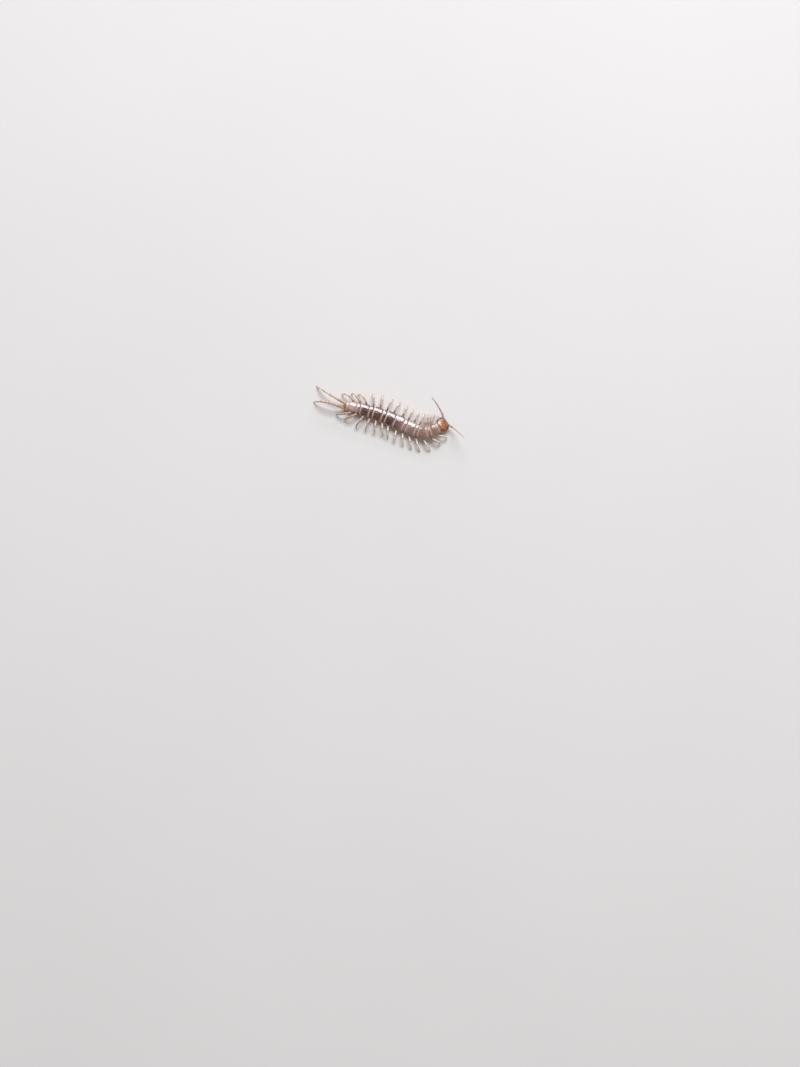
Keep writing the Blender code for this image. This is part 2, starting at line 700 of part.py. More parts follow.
def walking_leg(segment, side, finish):
    """One leg of the first fourteen pairs."""
    sign = 1 if side == "left" else -1
    swings, reaches = (
        (LEFT_SWINGS, LEFT_REACHES) if side == "left" else (RIGHT_SWINGS, RIGHT_REACHES)
    )
    point, _, left, up = (v[0] for v in SPINE.frame(segment.leg_at))
    tall = segment.tall
    drop = (FLANK_TOP - FLANK_FOOT) * tall
    out = unit((drop, -FLANK_SLOPE))
    direction = sign * out[0] * left + out[1] * up
    middle = (
        point
        + sign * (segment.half_body - FLANK_SLOPE / 2) * left
        + (FLANK_TOP + FLANK_FOOT) / 2 * tall * up
    )
    root = middle + direction * GAP
    knee = root + direction * COXA_LENGTH
    level = sign * left
    swing = math.radians(swings[segment.number - 1])
    out_yaw = math.atan2(level[1], level[0])
    heading = out_yaw - sign * swing
    share = (segment.number - 1) / (WALKING_LEGS - 1)
    length = FRONT_LEG_LENGTH + (REAR_LEG_LENGTH - FRONT_LEG_LENGTH) * share
    joints, steps = leg_chain(
        knee,
        heading,
        sign * (math.radians(LEG_BOW) - SWING_SPREAD * swing),
        length,
        reaches[segment.number - 1],
        WALKING_BENDS,
    )
    long_radius = COXA_LONG_RADIUS if segment.long else COXA_SHORT_RADIUS
    coxa = np.array((long_radius, COXA_RADIUS * tall))
    girth = np.interp(share, (0, 1), LEG_GIRTHS)
    name = f"leg_{side}_{segment.number:02d}"
    return leg_solid(name, root, direction, coxa, joints, steps, girth, LEG_SIDES, finish)


def trailing_leg(segment, side, finish):
    """One leg of the last pair, which trails behind the body."""
    sign = 1 if side == "left" else -1
    point, ahead, left, up = (v[0] for v in SPINE.frame(segment.rear - GAP / 2))
    direction = -ahead
    root = point + sign * LAST_COXA_ASIDE * left + LAST_COXA_HEIGHT * up + direction * GAP
    knee = root + direction * COXA_LENGTH
    bearing, bow = (math.radians(v) for v in LAST_BEARINGS[side])
    back_yaw = math.atan2(direction[1], direction[0])
    joints, steps = leg_chain(
        knee,
        back_yaw - sign * bearing,
        bow,
        LAST_LEG_LENGTH,
        LAST_REACHES[side],
        TRAILING_BENDS,
    )
    coxa = np.array((LAST_COXA_RADIUS, LAST_COXA_RADIUS))
    return leg_solid(
        f"leg_{side}_{segment.number:02d}",
        root,
        direction,
        coxa,
        joints,
        steps,
        LAST_LEG_GIRTH,
        LAST_LEG_SIDES,
        finish,
    )


def tail_solid(segment, finish):
    """The small rounded end of the body between the last legs."""
    start = segment.rear + GAP / 2
    cut = whole_ring(np.array(TAIL_CUT))
    rings = []
    for share, size in TAIL_SHARES:
        aside = cut[:, 0] * size
        above = TAIL_MIDDLE + (cut[:, 1] - TAIL_MIDDLE) * size
        rings.append(SPINE.place(np.full(len(cut), start + share * TAIL_LENGTH), aside, above))
    tip = SPINE.place([start + TAIL_LENGTH], [0.0], [TAIL_MIDDLE])[0]
    return lofted("tail_end", rings, finish, None, tip)


def build():
    """Makes every solid of the centipede."""
    clear_scene()
    head_finish = material("head_brown", HEAD_BROWN)
    trunk_finish = material("trunk_brown", TRUNK_BROWN)
    leg_finish = material("leg_cream", LEG_CREAM)
    last_finish = material("last_leg_tan", LAST_LEG_TAN)
    antenna_finish = material("antenna_pink", ANTENNA_PINK)
    claw_finish = material("claw_chestnut", CLAW_CHESTNUT)
    eye_finish = material("eye_black", EYE_BLACK)
    head_solid(head_finish)
    before = claw_segment_solid(trunk_finish)
    segments = trunk_segments()
    for segment in segments:
        segment_solid(segment, before, trunk_finish)
        before = {
            "half_width": segment.half_width * REAR_WIDTH_SHARE,
            "crown": segment.crown(),
            "corner": segment.corner,
        }
    tail_solid(segments[-1], trunk_finish)
    for side in ("left", "right"):
        eye_solid(f"eye_{side}", side, 0.0, eye_finish)
        antenna_solid(side, antenna_finish)
        claw_solid(side, claw_finish)
        for segment in segments[:-1]:
            walking_leg(segment, side, leg_finish)
        trailing_leg(segments[-1], side, last_finish)


build()
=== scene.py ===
"""The looks of a brown stone centipede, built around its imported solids.

The animal lies along X with its head at +X, +Y is its left side and +Z is up. Lengths are in millimetres and
are turned into metres where each mesh is made. The trunk follows one smooth line, the spine, and a distance
"back" is measured along it from the rear edge of the head. The head has its own frame: forward, left and up.
Every surface is a grid of points worked out from two parameters.
"""

from __future__ import annotations

import logging
import math
from dataclasses import dataclass, field, replace
from enum import Enum

import bpy
import numpy as np
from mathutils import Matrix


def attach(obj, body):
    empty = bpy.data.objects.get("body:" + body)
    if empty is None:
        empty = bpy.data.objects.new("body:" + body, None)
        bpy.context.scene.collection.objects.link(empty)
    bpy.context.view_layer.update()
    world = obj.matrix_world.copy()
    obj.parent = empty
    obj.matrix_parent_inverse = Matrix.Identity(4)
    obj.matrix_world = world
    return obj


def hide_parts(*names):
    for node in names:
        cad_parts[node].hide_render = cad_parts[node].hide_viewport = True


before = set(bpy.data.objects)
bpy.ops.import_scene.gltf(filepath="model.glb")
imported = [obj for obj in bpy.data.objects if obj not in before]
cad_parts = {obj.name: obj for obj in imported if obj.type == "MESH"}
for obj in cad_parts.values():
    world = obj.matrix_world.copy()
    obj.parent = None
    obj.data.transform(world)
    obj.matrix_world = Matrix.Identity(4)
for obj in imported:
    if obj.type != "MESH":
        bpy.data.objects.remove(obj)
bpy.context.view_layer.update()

Array = np.ndarray
Colour = tuple[float, float, float]
LOG = logging.getLogger("centipede")
MM = 0.001
BODY = "root"
WELD_DECIMALS = 6
LOWEST = 0.004
UP = np.array((0.0, 0.0, 1.0))

# The spine and the trunk, as the solids have them.
SPINE_POINTS = (
    (-11.10, 2.95, 1.20), (-9.20, 2.75, 1.28), (-6.10, 2.00, 1.36), (-2.30, 0.84, 1.38), (1.70, -0.82, 1.38),
    (4.70, -2.24, 1.42), (6.90, -3.12, 1.56), (8.60, -3.52, 1.82), (9.90, -3.42, 2.05), (11.00, -2.96, 2.14),
    (11.95, -2.34, 2.08),
)
SPINE_SAMPLES = 900
TERGITE_LENGTHS = (1.70, 0.78, 2.05, 0.88, 2.15, 0.98, 2.25, 2.30, 1.02, 2.25, 1.02, 2.15, 0.98, 1.75, 0.85)
CLAW_SEGMENT_LENGTH = 0.40
CLAW_SEGMENT_WIDTH = 2.45
TAIL_LENGTH = 0.80
SHORT_TERGITE = 1.2
SHORT_WIDTH_SHARE = 0.95
POINTED_TERGITES = (9, 11, 13)
POINT_LENGTH = 0.22
ROUND_CORNER = -0.12
CORNER_START = 0.55
CORNER_POWER = 1.6
WIDTH_STATIONS = (1, 4, 7, 12, 14, 15)
WIDTHS = (2.80, 3.15, 3.35, 2.75, 2.25, 1.95)
WIDEST = 3.35
CROWN = 0.76
MARGIN = 0.14
ARC_POWER = 0.9
BODY_INSET = 0.28
FLANK_TOP = -0.21
FLANK_FOOT = -0.70
FLANK_SLOPE = 0.36
STERNITE_INSET = 0.46
STERNITE_EDGE = -0.79
BELLY = -0.83
LAP = 0.20
LAST_LAP_SHARE = 0.5
GAP = 0.15

# The head and what it carries.
HEAD_LENGTH = 2.95
HEAD_WIDTH = 3.25
HEAD_PITCH = 20
HEAD_REAR = 0.08
HEAD_LAP = 0.18
HEAD_POWER = 2.35
HEAD_PROFILE = (  # share of the outline, height above the spine, from the crown to under the head
    (0.0, 0.73), (0.34, 0.71), (0.64, 0.63), (0.84, 0.49), (0.95, 0.34), (1.00, 0.20), (0.99, 0.08),
    (0.90, -0.06), (0.60, -0.14), (0.0, -0.15),
)
SOCKET_FORWARD = 2.20
SOCKET_ASIDE = 0.80
SOCKET_HEIGHT = 0.20
SOCKET_LENGTH = 0.62
SOCKET_PROFILE = (  # distance along the feeler's way, radius, out over the rolled lip and back into it
    (-0.12, 0.30), (0.0, 0.31), (0.15, 0.31), (0.28, 0.30), (0.36, 0.30), (0.41, 0.315), (0.45, 0.322),
    (0.48, 0.305), (0.47, 0.285), (0.44, 0.27), (0.38, 0.26), (0.30, 0.25),
)
ANTENNA_LENGTH = 7.2
ANTENNA_ROOT = 0.26
ANTENNA_TIP = 0.11
ANTENNA_TAPER = 0.8
ANTENNA_STATIONS = (0.0, 0.25, 0.55, 1.0)
ANTENNA_YAW = {"left": (64, 94, 100, 102), "right": (60, 86, 90, 90)}
ANTENNA_CLIMB = {"left": (16, 52, 60, 48), "right": (14, 46, 54, 44)}
ANTENNA_SAMPLES = 400
ANTENNA_BEAD = (  # share along an article, radius beside the taper's, darkness
    (0.0, 0.72, 1.0), (0.07, 0.84, 0.7), (0.16, 0.93, 0.2), (0.32, 0.99, 0.0), (0.55, 1.02, 0.0),
    (0.76, 1.0, 0.1), (0.90, 0.90, 0.45), (0.97, 0.76, 0.9),
)
EYE_BEARING = 74
EYE_SHARE = 0.90
EYE_HEIGHT = 0.40
EYE_TILT = 52
MOUTH_POINTS = ((1.00, 0.42, -0.26), (1.55, 0.52, -0.30), (2.05, 0.36, -0.30), (2.28, 0.12, -0.28))
MOUTH_JOINTS = (0.34, 0.62, 0.84)
PLATE_TOP = -0.31
PLATE_STATIONS = ((0.04, 1.12), (0.38, 1.18), (1.13, 0.56), (1.28, 0.48))
CLAW_FACET = (0.74, 0.89)
CLAW_HEIGHT = -0.56
CLAW_LENGTH = 2.75
CLAW_TURN = 135
CLAW_CURL = 1.15
CLAW_PROFILE = (  # share of the length, radius
    (0.0, 0.42), (0.14, 0.41), (0.30, 0.33), (0.40, 0.30), (0.48, 0.25), (0.56, 0.25), (0.62, 0.19),
    (0.78, 0.13), (0.90, 0.08), (1.0, 0.03),
)
CLAW_JOINTS = ((0.395, 0.05), (0.475, 0.04), (0.555, 0.04), (0.03, 0.03))  # share of the length, depth

# The legs.
COXA_LENGTH = 0.48
COXA_RADIUS = 0.28
COXA_LONG_RADIUS = 0.36
COXA_SHORT_RADIUS = 0.25
COXA_RINGS = (  # distance from the flank, size beside the first article's
    (-0.34, 0.90), (-0.22, 1.0), (-0.12, 1.03), (-0.03, 1.02), (0.03, 1.0), (0.09, 0.99), (0.15, 0.98),
    (0.20, 0.98), (0.235, 0.99), (0.26, 0.95), (0.28, 0.85), (0.31, 0.80),
)
SECOND_RINGS = (  # the same for the small second article
    (0.35, 0.76), (0.38, 0.86), (0.42, 0.95), (0.48, 0.97), (0.54, 0.95), (0.58, 0.86), (0.61, 0.78),
)
ARTICLE_SHARES = (0.25, 0.23, 0.21, 0.17, 0.14)
ARTICLE_RISE = (0.0, -0.28, -0.62, -0.86, -1.0)
ARTICLE_RADII = (  # near the start, the middle and the end of each article
    (0.235, 0.268, 0.285), (0.215, 0.252, 0.270), (0.195, 0.228, 0.245), (0.165, 0.185, 0.180),
    (0.135, 0.145, 0.115),
)
ARTICLE_RINGS = (  # shares along an article, close at its joints
    0.012, 0.03, 0.055, 0.085, 0.12, 0.18, 0.27, 0.40, 0.53, 0.66, 0.77, 0.85, 0.895, 0.925,
    0.95, 0.97, 0.988,
)
SPUR_ANGLES = ((-125, -90, -55, 60), (-130, -90, -50, 50, 130), (-120, -90, -60, 90))
FRONT_LEG_LENGTH = 3.9
REAR_LEG_LENGTH = 5.7
LAST_LEG_LENGTH = 9.4
LEG_GIRTHS = (0.93, 1.05)
LAST_LEG_GIRTH = 1.22
WALKING_LEGS = 14
WALKING_BENDS = (0.2, 4.0)
TRAILING_BENDS = (0.05, 2.5)
STEEPEST_CLIMB = 1.5
HALVINGS = 40
SWINGS = {
    "left": (48, 25, 5, 1, -1, -3, -7, 5, 1, -11, -22, -58, -62, -73),
    "right": (58, 54, 43, 38, 35, 28, 14, 22, 26, 11, -5, -25, -60, -79),
}
REACHES = {
    "left": (3.0, 3.2, 3.2, 3.1, 2.9, 2.8, 3.4, 3.2, 3.4, 3.7, 3.2, 3.5, 3.4, 3.9),
    "right": (2.4, 2.5, 3.3, 3.5, 3.4, 3.1, 3.0, 2.9, 2.9, 3.0, 3.0, 3.0, 3.3, 4.1),
}
LEG_BOW = 8
SWING_SPREAD = 0.6
LAST_BEARINGS = {"left": (29, -18), "right": (-6, 14)}
LAST_REACHES = {"left": 8.2, "right": 7.6}
LAST_COXA_ASIDE = 0.66
LAST_COXA_HEIGHT = -0.38
LAST_COXA_RADIUS = 0.28
LAST_COXA_SIZES = (0.30, 0.66, 0.88, 0.98)

# Hairs and spines: share of the way to the tip, thickness beside the root's.
HAIR_TAPER = ((-0.12, 0.0), (0.0, 1.0), (0.5, 0.62), (1.0, 0.0))
SPINE_TAPER = ((-0.15, 0.0), (-0.05, 0.9), (0.08, 1.0), (0.3, 0.85), (0.6, 0.52), (0.85, 0.2), (1.0, 0.0))


class Side(Enum):
    """A side of the animal."""

    LEFT = "left"
    RIGHT = "right"

    @property
    def sign(self) -> int:
        """One on the left, where +Y is, and minus one on the right."""
        return 1 if self is Side.LEFT else -1


class Slot(Enum):
    """The record's material slots."""

    HEAD = "head_brown"
    TRUNK = "trunk_brown"
    LEG = "leg_cream"
    LAST_LEG = "last_leg_tan"
    ANTENNA = "antenna_pink"
    CLAW = "claw_chestnut"
    EYE = "eye_black"


def unit(vector: Array) -> Array:
    """Each vector of an array at length one."""
    vector = np.asarray(vector, float)
    return vector / np.linalg.norm(vector, axis=-1, keepdims=True)


def smooth(value: Array) -> Array:
    """A soft step: three times the square less twice the cube of a value held between 0 and 1."""
    held = np.clip(value, 0, 1)
    return held * held * (3 - 2 * held)


def bell(distance: Array, width: float) -> Array:
    """A bump: e to the minus square of a distance over a width."""
    return np.exp(-((distance / width) ** 2))


def crowded(count: int) -> Array:
    """Shares from 0 to 1, close together at both ends, as half a cosine gives them."""
    return (1 - np.cos(np.linspace(0, math.pi, count))) / 2


def circle(count: int) -> Array:
    """Angles round a full turn, at even steps."""
    return np.arange(count) * 2 * math.pi / count


def plate_shares(rows: int, columns: int, curl: float = 1.0) -> tuple[Array, Array]:
    """A column of shares along a plate and a row of turns across it, from minus to plus the curl."""
    return crowded(rows)[:, None], curl * np.sin(np.linspace(-math.pi / 2, math.pi / 2, columns))[None]


def ripple(points: Array, length: float, seed: int, octaves: int = 3) -> Array:
    """Smooth noise of about -1 to 1.

    It is a sum of sine waves along seeded random directions; each octave halves the length and the weight.

    Args:
        points: Places, with their coordinates along the last axis.
        length: The longest wave.
        seed: Picks the directions and phases.
        octaves: How many sets of waves are added.

    Returns:
        One value for each place.
    """
    draw = np.random.default_rng(seed)
    total = np.zeros(points.shape[:-1])
    for octave in range(octaves):
        ways = unit(draw.normal(size=(6, points.shape[-1])))
        phases = draw.uniform(0, 2 * math.pi, 6)
        waves = np.sin(points @ ways.T * (2 * math.pi / length * 2**octave) + phases)
        total += waves.mean(-1) * 1.6 / 2**octave
    return total


def natural_cubic(knots: Array, values: Array, at: Array) -> Array:
    """A natural cubic spline through values.

    Args:
        knots: Where the values stand, in rising order.
        values: One row for each knot.
        at: Where the spline is read.

    Returns:
        One row for each place.
    """
    count = len(knots)
    step = np.diff(knots)
    system = np.eye(count)
    right = np.zeros((count, values.shape[1]))
    slope = np.diff(values, axis=0) / step[:, None]
    for i in range(1, count - 1):
        system[i, i - 1 : i + 2] = step[i - 1], 2 * (step[i - 1] + step[i]), step[i]
        right[i] = 6 * (slope[i] - slope[i - 1])
    bend = np.linalg.solve(system, right)
    i = np.clip(np.searchsorted(knots, at) - 1, 0, count - 2)
    h = step[i][:, None]
    a = (knots[i + 1] - at)[:, None] / h
    b = 1 - a
    curve = ((a**3 - a) * bend[i] + (b**3 - b) * bend[i + 1]) * h**2 / 6
    return a * values[i] + b * values[i + 1] + curve


def lengths_along(points: Array) -> Array:
    """Distance of each point from the first, along the points."""
    return np.r_[0, np.cumsum(np.linalg.norm(np.diff(points, axis=0), axis=1))]


def through(points: Array, at: Array) -> Array:
    """A smooth curve through points, read at shares of its length along the points."""
    knots = lengths_along(points)
    return natural_cubic(knots, points, at * knots[-1])


def summed(directions: Array, step: float) -> Array:
    """Places along a path of equal steps, each taken in the mean of two directions."""
    middle = (directions[1:] + directions[:-1]) / 2
    return np.concatenate([np.zeros((1, directions.shape[1])), np.cumsum(middle * step, axis=0)])


def read_rows(at: Array, marks: Array, rows: Array) -> Array:
    """Rows that stand at rising marks, read straight between them at other places."""
    return np.stack([np.interp(at, marks, column) for column in rows.T], -1)


def between(values: Array, spots: Array) -> Array:
    """Values read between the rows of an array.

    Args:
        values: The rows.
        spots: Places counted in rows, such as 2.5 for the middle between the third and the fourth.

    Returns:
        One row for each place.
    """
    low = np.clip(spots.astype(int), 0, len(values) - 2)
    part = (spots - low).reshape((-1,) + (1,) * (values.ndim - 1))
    return values[low] * (1 - part) + values[low + 1] * part


def normals_of(grid: Array, outward: Array) -> Array:
    """Unit normals of a grid of points.

    Args:
        grid: The points, as rows by columns by three.
        outward: Vectors that show the side to which the normals turn.

    Returns:
        One normal for each point.
    """
    normal = np.cross(np.gradient(grid, axis=0), np.gradient(grid, axis=1))
    length = np.linalg.norm(normal, axis=-1, keepdims=True)
    normal = np.where(length > 1e-12, normal / np.maximum(length, 1e-12), outward)
    side = np.sign((normal * outward).sum(-1, keepdims=True))
    return np.where(side == 0, outward, normal * side)


def carried(ways: Array, first: Array) -> Array:
    """Unit vectors across a path that are carried along it without a twist.

    Each is the one before it, less its part along the path's direction there.

    Args:
        ways: Directions along the path.
        first: The vector across at its start.

    Returns:
        One unit vector for each direction.
    """
    across = np.empty_like(ways)
    last = first
    for i, way in enumerate(ways):
        last = unit(last - way * (last @ way))
        across[i] = last
    return across


def spokes(turn: Array, across: Array, over: Array, wide: Array = 1.0, high: Array = 1.0) -> Array:
    """Vectors round an oval: half width times cosine across, plus half height times sine over."""
    return (np.cos(turn) * wide)[..., None] * across + (np.sin(turn) * high)[..., None] * over


def closed_ends(rings: Array, last: Array | None = None) -> Array:
    """Rings with a pole added at each end.

    Args:
        rings: The rings, as rings by sides by three.
        last: The far pole, where it isn't the middle of the last ring.

    Returns:
        The rings between two rows of poles.
    """
    shape = rings[:1].shape
    end = rings[-1].mean(0) if last is None else last
    return np.concatenate([np.broadcast_to(rings[0].mean(0), shape), rings, np.broadcast_to(end, shape)])


def cones(
    roots: Array, ways: Array, lengths: Array | float, radius: float, taper: tuple[tuple[float, float], ...],
    sides: int, bends: Array | float = 0.0,
) -> tuple[Array, Array]:
    """Many thin cones that may bend, held off the floor.

    A cone's line is its root plus its way times the length and the share, plus its bend times the length
    and the share's square.

    Args:
        roots: Places of the roots.
        ways: Unit directions at the roots.
        lengths: Their lengths.
        radius: The radius at the root.
        taper: Shares of the way to the tip, with the thickness there.
        sides: Points on each ring.
        bends: How the tips are carried away from the first directions, as a share of the length.

    Returns:
        One closed grid for each cone, and the share of the way to the tip of each ring as a column.
    """
    share, thick = np.array(taper).T
    away = np.where(np.abs(ways[:, 2:]) < 0.9, UP, np.array((1.0, 0.0, 0.0)))
    across = unit(np.cross(ways, away))[:, None]
    over = np.cross(ways[:, None], across)
    reach = np.broadcast_to(lengths, len(roots))[:, None, None] * share[:, None]
    bend = np.broadcast_to(bends, ways.shape)[:, None] * np.abs(share)[:, None]
    line = roots[:, None] + (ways[:, None] + bend) * reach
    ring = radius * spokes(circle(sides), across, over)
    grid = line[:, :, None] + thick[:, None, None] * ring[:, None]
    grid[..., 2] = np.maximum(grid[..., 2], LOWEST)
    return grid, np.clip(share, 0, 1)[:, None]


class Surface:
    """A mesh in the making, from closed grids of points in millimetres."""

    def __init__(self) -> None:
        """Starts with no grid."""
        self.points: list[Array] = []
        self.quads: list[Array] = []
        self.values: list[dict[str, Array]] = []
        self.count = 0

    def add(self, grids: Array, **values: Array | float) -> Surface:
        """Adds one closed grid, or many alike, whose columns run all the way round.

        Args:
            grids: Points, as rows by columns by three, or as many such grids.
            values: Numbers for the points, for the finish to read, that stretch to the grid's shape.

        Returns:
            The surface itself.
        """
        many = grids if grids.ndim == 4 else grids[None]
        number, rows, columns = shape = many.shape[:3]
        index = np.arange(rows * columns).reshape(rows, columns)
        index = np.hstack([index, index[:, :1]])
        quads = np.stack([index[:-1, :-1], index[:-1, 1:], index[1:, 1:], index[1:, :-1]], -1).reshape(-1, 4)
        one = many[0].reshape(-1, 3)
        corners = (one - one.mean(0))[quads]
        volume = sum((corners[:, 0] * np.cross(corners[:, i], corners[:, i + 1])).sum() for i in (1, 2))
        if volume < 0:
            quads = quads[:, ::-1]
        shift = np.arange(number)[:, None, None] * rows * columns + self.count
        self.quads.append((quads[None] + shift).reshape(-1, 4))
        self.points.append(many.reshape(-1, 3))
        self.values.append({key: np.broadcast_to(value, shape).reshape(-1) for key, value in values.items()})
        self.count += number * rows * columns
        return self

    def tube(self, rings: Array, last: Array | None = None, **values: Array | float) -> Surface:
        """Adds rings, closed by a pole at each end.

        Args:
            rings: Points, as rings by sides by three.
            last: The far pole, where it isn't the middle of the last ring.
            values: Numbers for the points: one for each point or each ring, or one for all.

        Returns:
            The surface itself.
        """
        poled = {}
        for key, value in values.items():
            full = np.broadcast_to(np.transpose(value), rings.shape[1::-1]).T
            poled[key] = np.concatenate([full[:1], full, full[-1:]])
        return self.add(closed_ends(rings, last), **poled)

    def spines(self, roots: Array, ways: Array, lengths: Array | float, radius: float) -> Surface:
        """Adds stout spines: straight cones that swell a little above the root."""
        grids, tip = cones(roots, ways, lengths, radius, SPINE_TAPER, 7)
        return self.add(grids, tip=tip)

    def piece(
        self, name: str, finish: bpy.types.Material, slot: Slot, replaced: tuple[str, ...] = ()
    ) -> bpy.types.Object:
        """Makes the object: points at one place are joined, and what folds to a triangle becomes one.

        Args:
            name: The object's name.
            finish: Its material.
            slot: The record's slot that its finish belongs to. Not used.
            replaced: The solids that it stands for.

        Returns:
            The object, riding on the body.
        """
        points = np.round(np.concatenate(self.points), WELD_DECIMALS)
        places, first, inverse = np.unique(points, axis=0, return_index=True, return_inverse=True)
        faces = inverse.reshape(-1)[np.concatenate(self.quads)]
        same = faces == np.roll(faces, -1, axis=1)
        quads = faces[same.sum(1) == 0]
        folded = same.sum(1) == 1
        triangles = faces[folded][~same[folded]].reshape(-1, 3)
        mesh = bpy.data.meshes.new(name)
        mesh.vertices.add(len(places))
        mesh.vertices.foreach_set("co", (places * MM).astype(np.float32).ravel())
        mesh.loops.add(quads.size + triangles.size)
        mesh.loops.foreach_set("vertex_index", np.r_[quads.ravel(), triangles.ravel()].astype(np.int32))
        mesh.polygons.add(len(quads) + len(triangles))
        starts = np.r_[np.arange(len(quads)) * 4, quads.size + np.arange(len(triangles)) * 3]
        mesh.polygons.foreach_set("loop_start", starts.astype(np.int32))
        for key in self.values[0]:
            layer = mesh.attributes.new(key, "FLOAT", "POINT")
            values = np.concatenate([v[key] for v in self.values])
            layer.data.foreach_set("value", values[first].astype(np.float32))
        mesh.update(calc_edges=True)
        mesh.shade_smooth()
        mesh.materials.append(finish)
        made = bpy.data.objects.new(name, mesh)
        bpy.context.scene.collection.objects.link(made)
        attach(made, BODY)
        if replaced:
            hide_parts(*replaced)
        LOG.info("%s: %d faces", name, len(mesh.polygons))
        return made


@dataclass(frozen=True)
class Tube:
    """Oval rings along a line: one place, direction, vector across, vector over and size for each."""

    path: Array
    ways: Array
    across: Array
    over: Array
    wide: Array
    high: Array

    @classmethod
    def along(cls, path: Array, ways: Array, across: Array, wide: Array, high: Array) -> Tube:
        """A tube whose vectors over stand square to its directions and its vectors across.

        Args:
            path: Centres of the rings.
            ways: Directions of the line, or one for all.
            across: Unit vectors of the half widths, or one for all.
            wide: Half widths.
            high: Half heights.

        Returns:
            The tube.
        """
        ways, across = (np.broadcast_to(vectors, path.shape) for vectors in (ways, across))
        return cls(path, ways, across, np.cross(ways, across), wide, high)

    def rings(self, sides: int) -> Array:
        """Points of the rings, as rings by sides by three."""
        across, over, wide, high = (v[:, None] for v in (self.across, self.over, self.wide, self.high))
        return self.path[:, None] + spokes(circle(sides), across, over, wide, high)

    def at(self, spots: Array) -> Tube:
        """The tube read between its rings, at places counted in rings."""
        rows = (self.path, self.ways, self.across, self.over, self.wide, self.high)
        return Tube(*(between(row, spots) for row in rows))


@dataclass(frozen=True)
class Value:
    """A number that varies over a surface: the output of a node. Python's operators add Math nodes to it."""

    paint: Paint
    socket: bpy.types.NodeSocket

    def calculate(self, operation: str, first: object, second: object) -> Value:
        """The result of a Math node."""
        return self.paint.value("ShaderNodeMath", {0: first, 1: second}, operation=operation)

    def __add__(self, other: object) -> Value:
        """This plus the other."""
        return self.calculate("ADD", self, other)

    def __sub__(self, other: object) -> Value:
        """This less the other."""
        return self.calculate("SUBTRACT", self, other)

    def __rsub__(self, other: object) -> Value:
        """The other less this."""
        return self.calculate("SUBTRACT", other, self)

    def __mul__(self, other: object) -> Value:
        """This times the other."""
        return self.calculate("MULTIPLY", self, other)

    def step(self, low: float, high: float) -> Value:
        """A soft step.

        Args:
            low: Where it is 0.
            high: Where it is 1, above or below that.

        Returns:
            The step.
        """
        flipped = high < low
        ends = {1: min(low, high), 2: max(low, high), 3: float(flipped), 4: float(not flipped)}
        return self.paint.value("ShaderNodeMapRange", {0: self, **ends}, interpolation_type="SMOOTHSTEP")


class Paint:
    """The node tree of one material, around one Principled shader."""

    def __init__(self, name: str, colour: Colour, roughness: float, **constants: float) -> None:
        """Makes the material.

        Args:
            name: The material's name.
            colour: The colour that others are laid over.
            roughness: Its roughness, where nothing varies it.
            constants: Values set on the shader's own sockets, named with _ for a space.
        """
        self.material = bpy.data.materials.new(name)
        self.material.use_nodes = True
        self.tree = self.material.node_tree
        self.shader = self.tree.nodes["Principled BSDF"]
        for key, value in {"Roughness": roughness, **constants}.items():
            self.shader.inputs[key.replace("_", " ")].default_value = value
        self.place = self.node("ShaderNodeTexCoord", {}).outputs["Object"]
        self.body: object = colour

    def feed(self, socket: bpy.types.NodeSocket, value: object) -> None:
        """Links or sets a socket.

        Args:
            socket: The socket.
            value: A value or an output to link to it, or a plain number or colour to set on it.
        """
        source = value.socket if isinstance(value, Value) else value
        if isinstance(source, bpy.types.NodeSocket):
            self.tree.links.new(source, socket)
        elif isinstance(source, tuple):
            socket.default_value = (*source, 1.0)
        else:
            socket.default_value = source

    def node(self, kind: str, sockets: dict[str | int, object], **settings: object) -> bpy.types.Node:
        """Adds a node.

        Args:
            kind: Its type.
            sockets: What its inputs are fed with.
            settings: Its own settings, which are set first.

        Returns:
            The node.
        """
        made = self.tree.nodes.new(kind)
        for name, value in settings.items():
            setattr(made, name, value)
        for key, value in sockets.items():
            self.feed(made.inputs[key], value)
        return made

    def value(self, kind: str, sockets: dict[str | int, object], **settings: object) -> Value:
        """The first output of a new node."""
        return Value(self, self.node(kind, sockets, **settings).outputs[0])

    def read(self, name: str) -> Value:
        """A value kept on the mesh."""
        return Value(self, self.node("ShaderNodeAttribute", {}, attribute_name=name).outputs["Fac"])

    def noise(self, size: float, detail: float = 3.0) -> Value:
        """Cloudy noise of about 0.2 to 0.8, with features of a size in millimetres."""
        sockets = {"Vector": self.place, "Scale": 1 / (size * MM), "Detail": detail}
        return self.value("ShaderNodeTexNoise", sockets)

    def cells(self, size: float) -> Value:
        """Distance from the edges of small cells, of a size in millimetres."""
        sockets = {"Vector": self.place, "Scale": 1 / (size * MM)}
        return self.value("ShaderNodeTexVoronoi", sockets, feature="DISTANCE_TO_EDGE")

    def lay(self, share: Value, colour: Colour) -> None:
        """Lays a colour over those before it, by a share from 0 to 1."""
        sockets = {0: share, 6: self.body, 7: colour}
        self.body = self.node("ShaderNodeMix", sockets, data_type="RGBA", blend_type="MIX").outputs[2]

    def done(
        self, roughness: Value | None = None, height: Value | None = None, depth: float = 0.0
    ) -> bpy.types.Material:
        """Feeds the shader.

        Args:
            roughness: The roughness, where it varies.
            height: A height of 0 to 1 for the normal.
            depth: Its full depth in millimetres.

        Returns:
            The material.
        """
        self.feed(self.shader.inputs["Base Color"], self.body)
        if roughness:
            self.feed(self.shader.inputs["Roughness"], roughness)
        if height:
            node = self.node("ShaderNodeBump", {"Height": height, "Distance": depth * MM, "Strength": 1.0})
            self.feed(self.shader.inputs["Normal"], node.outputs[0])
        return self.material


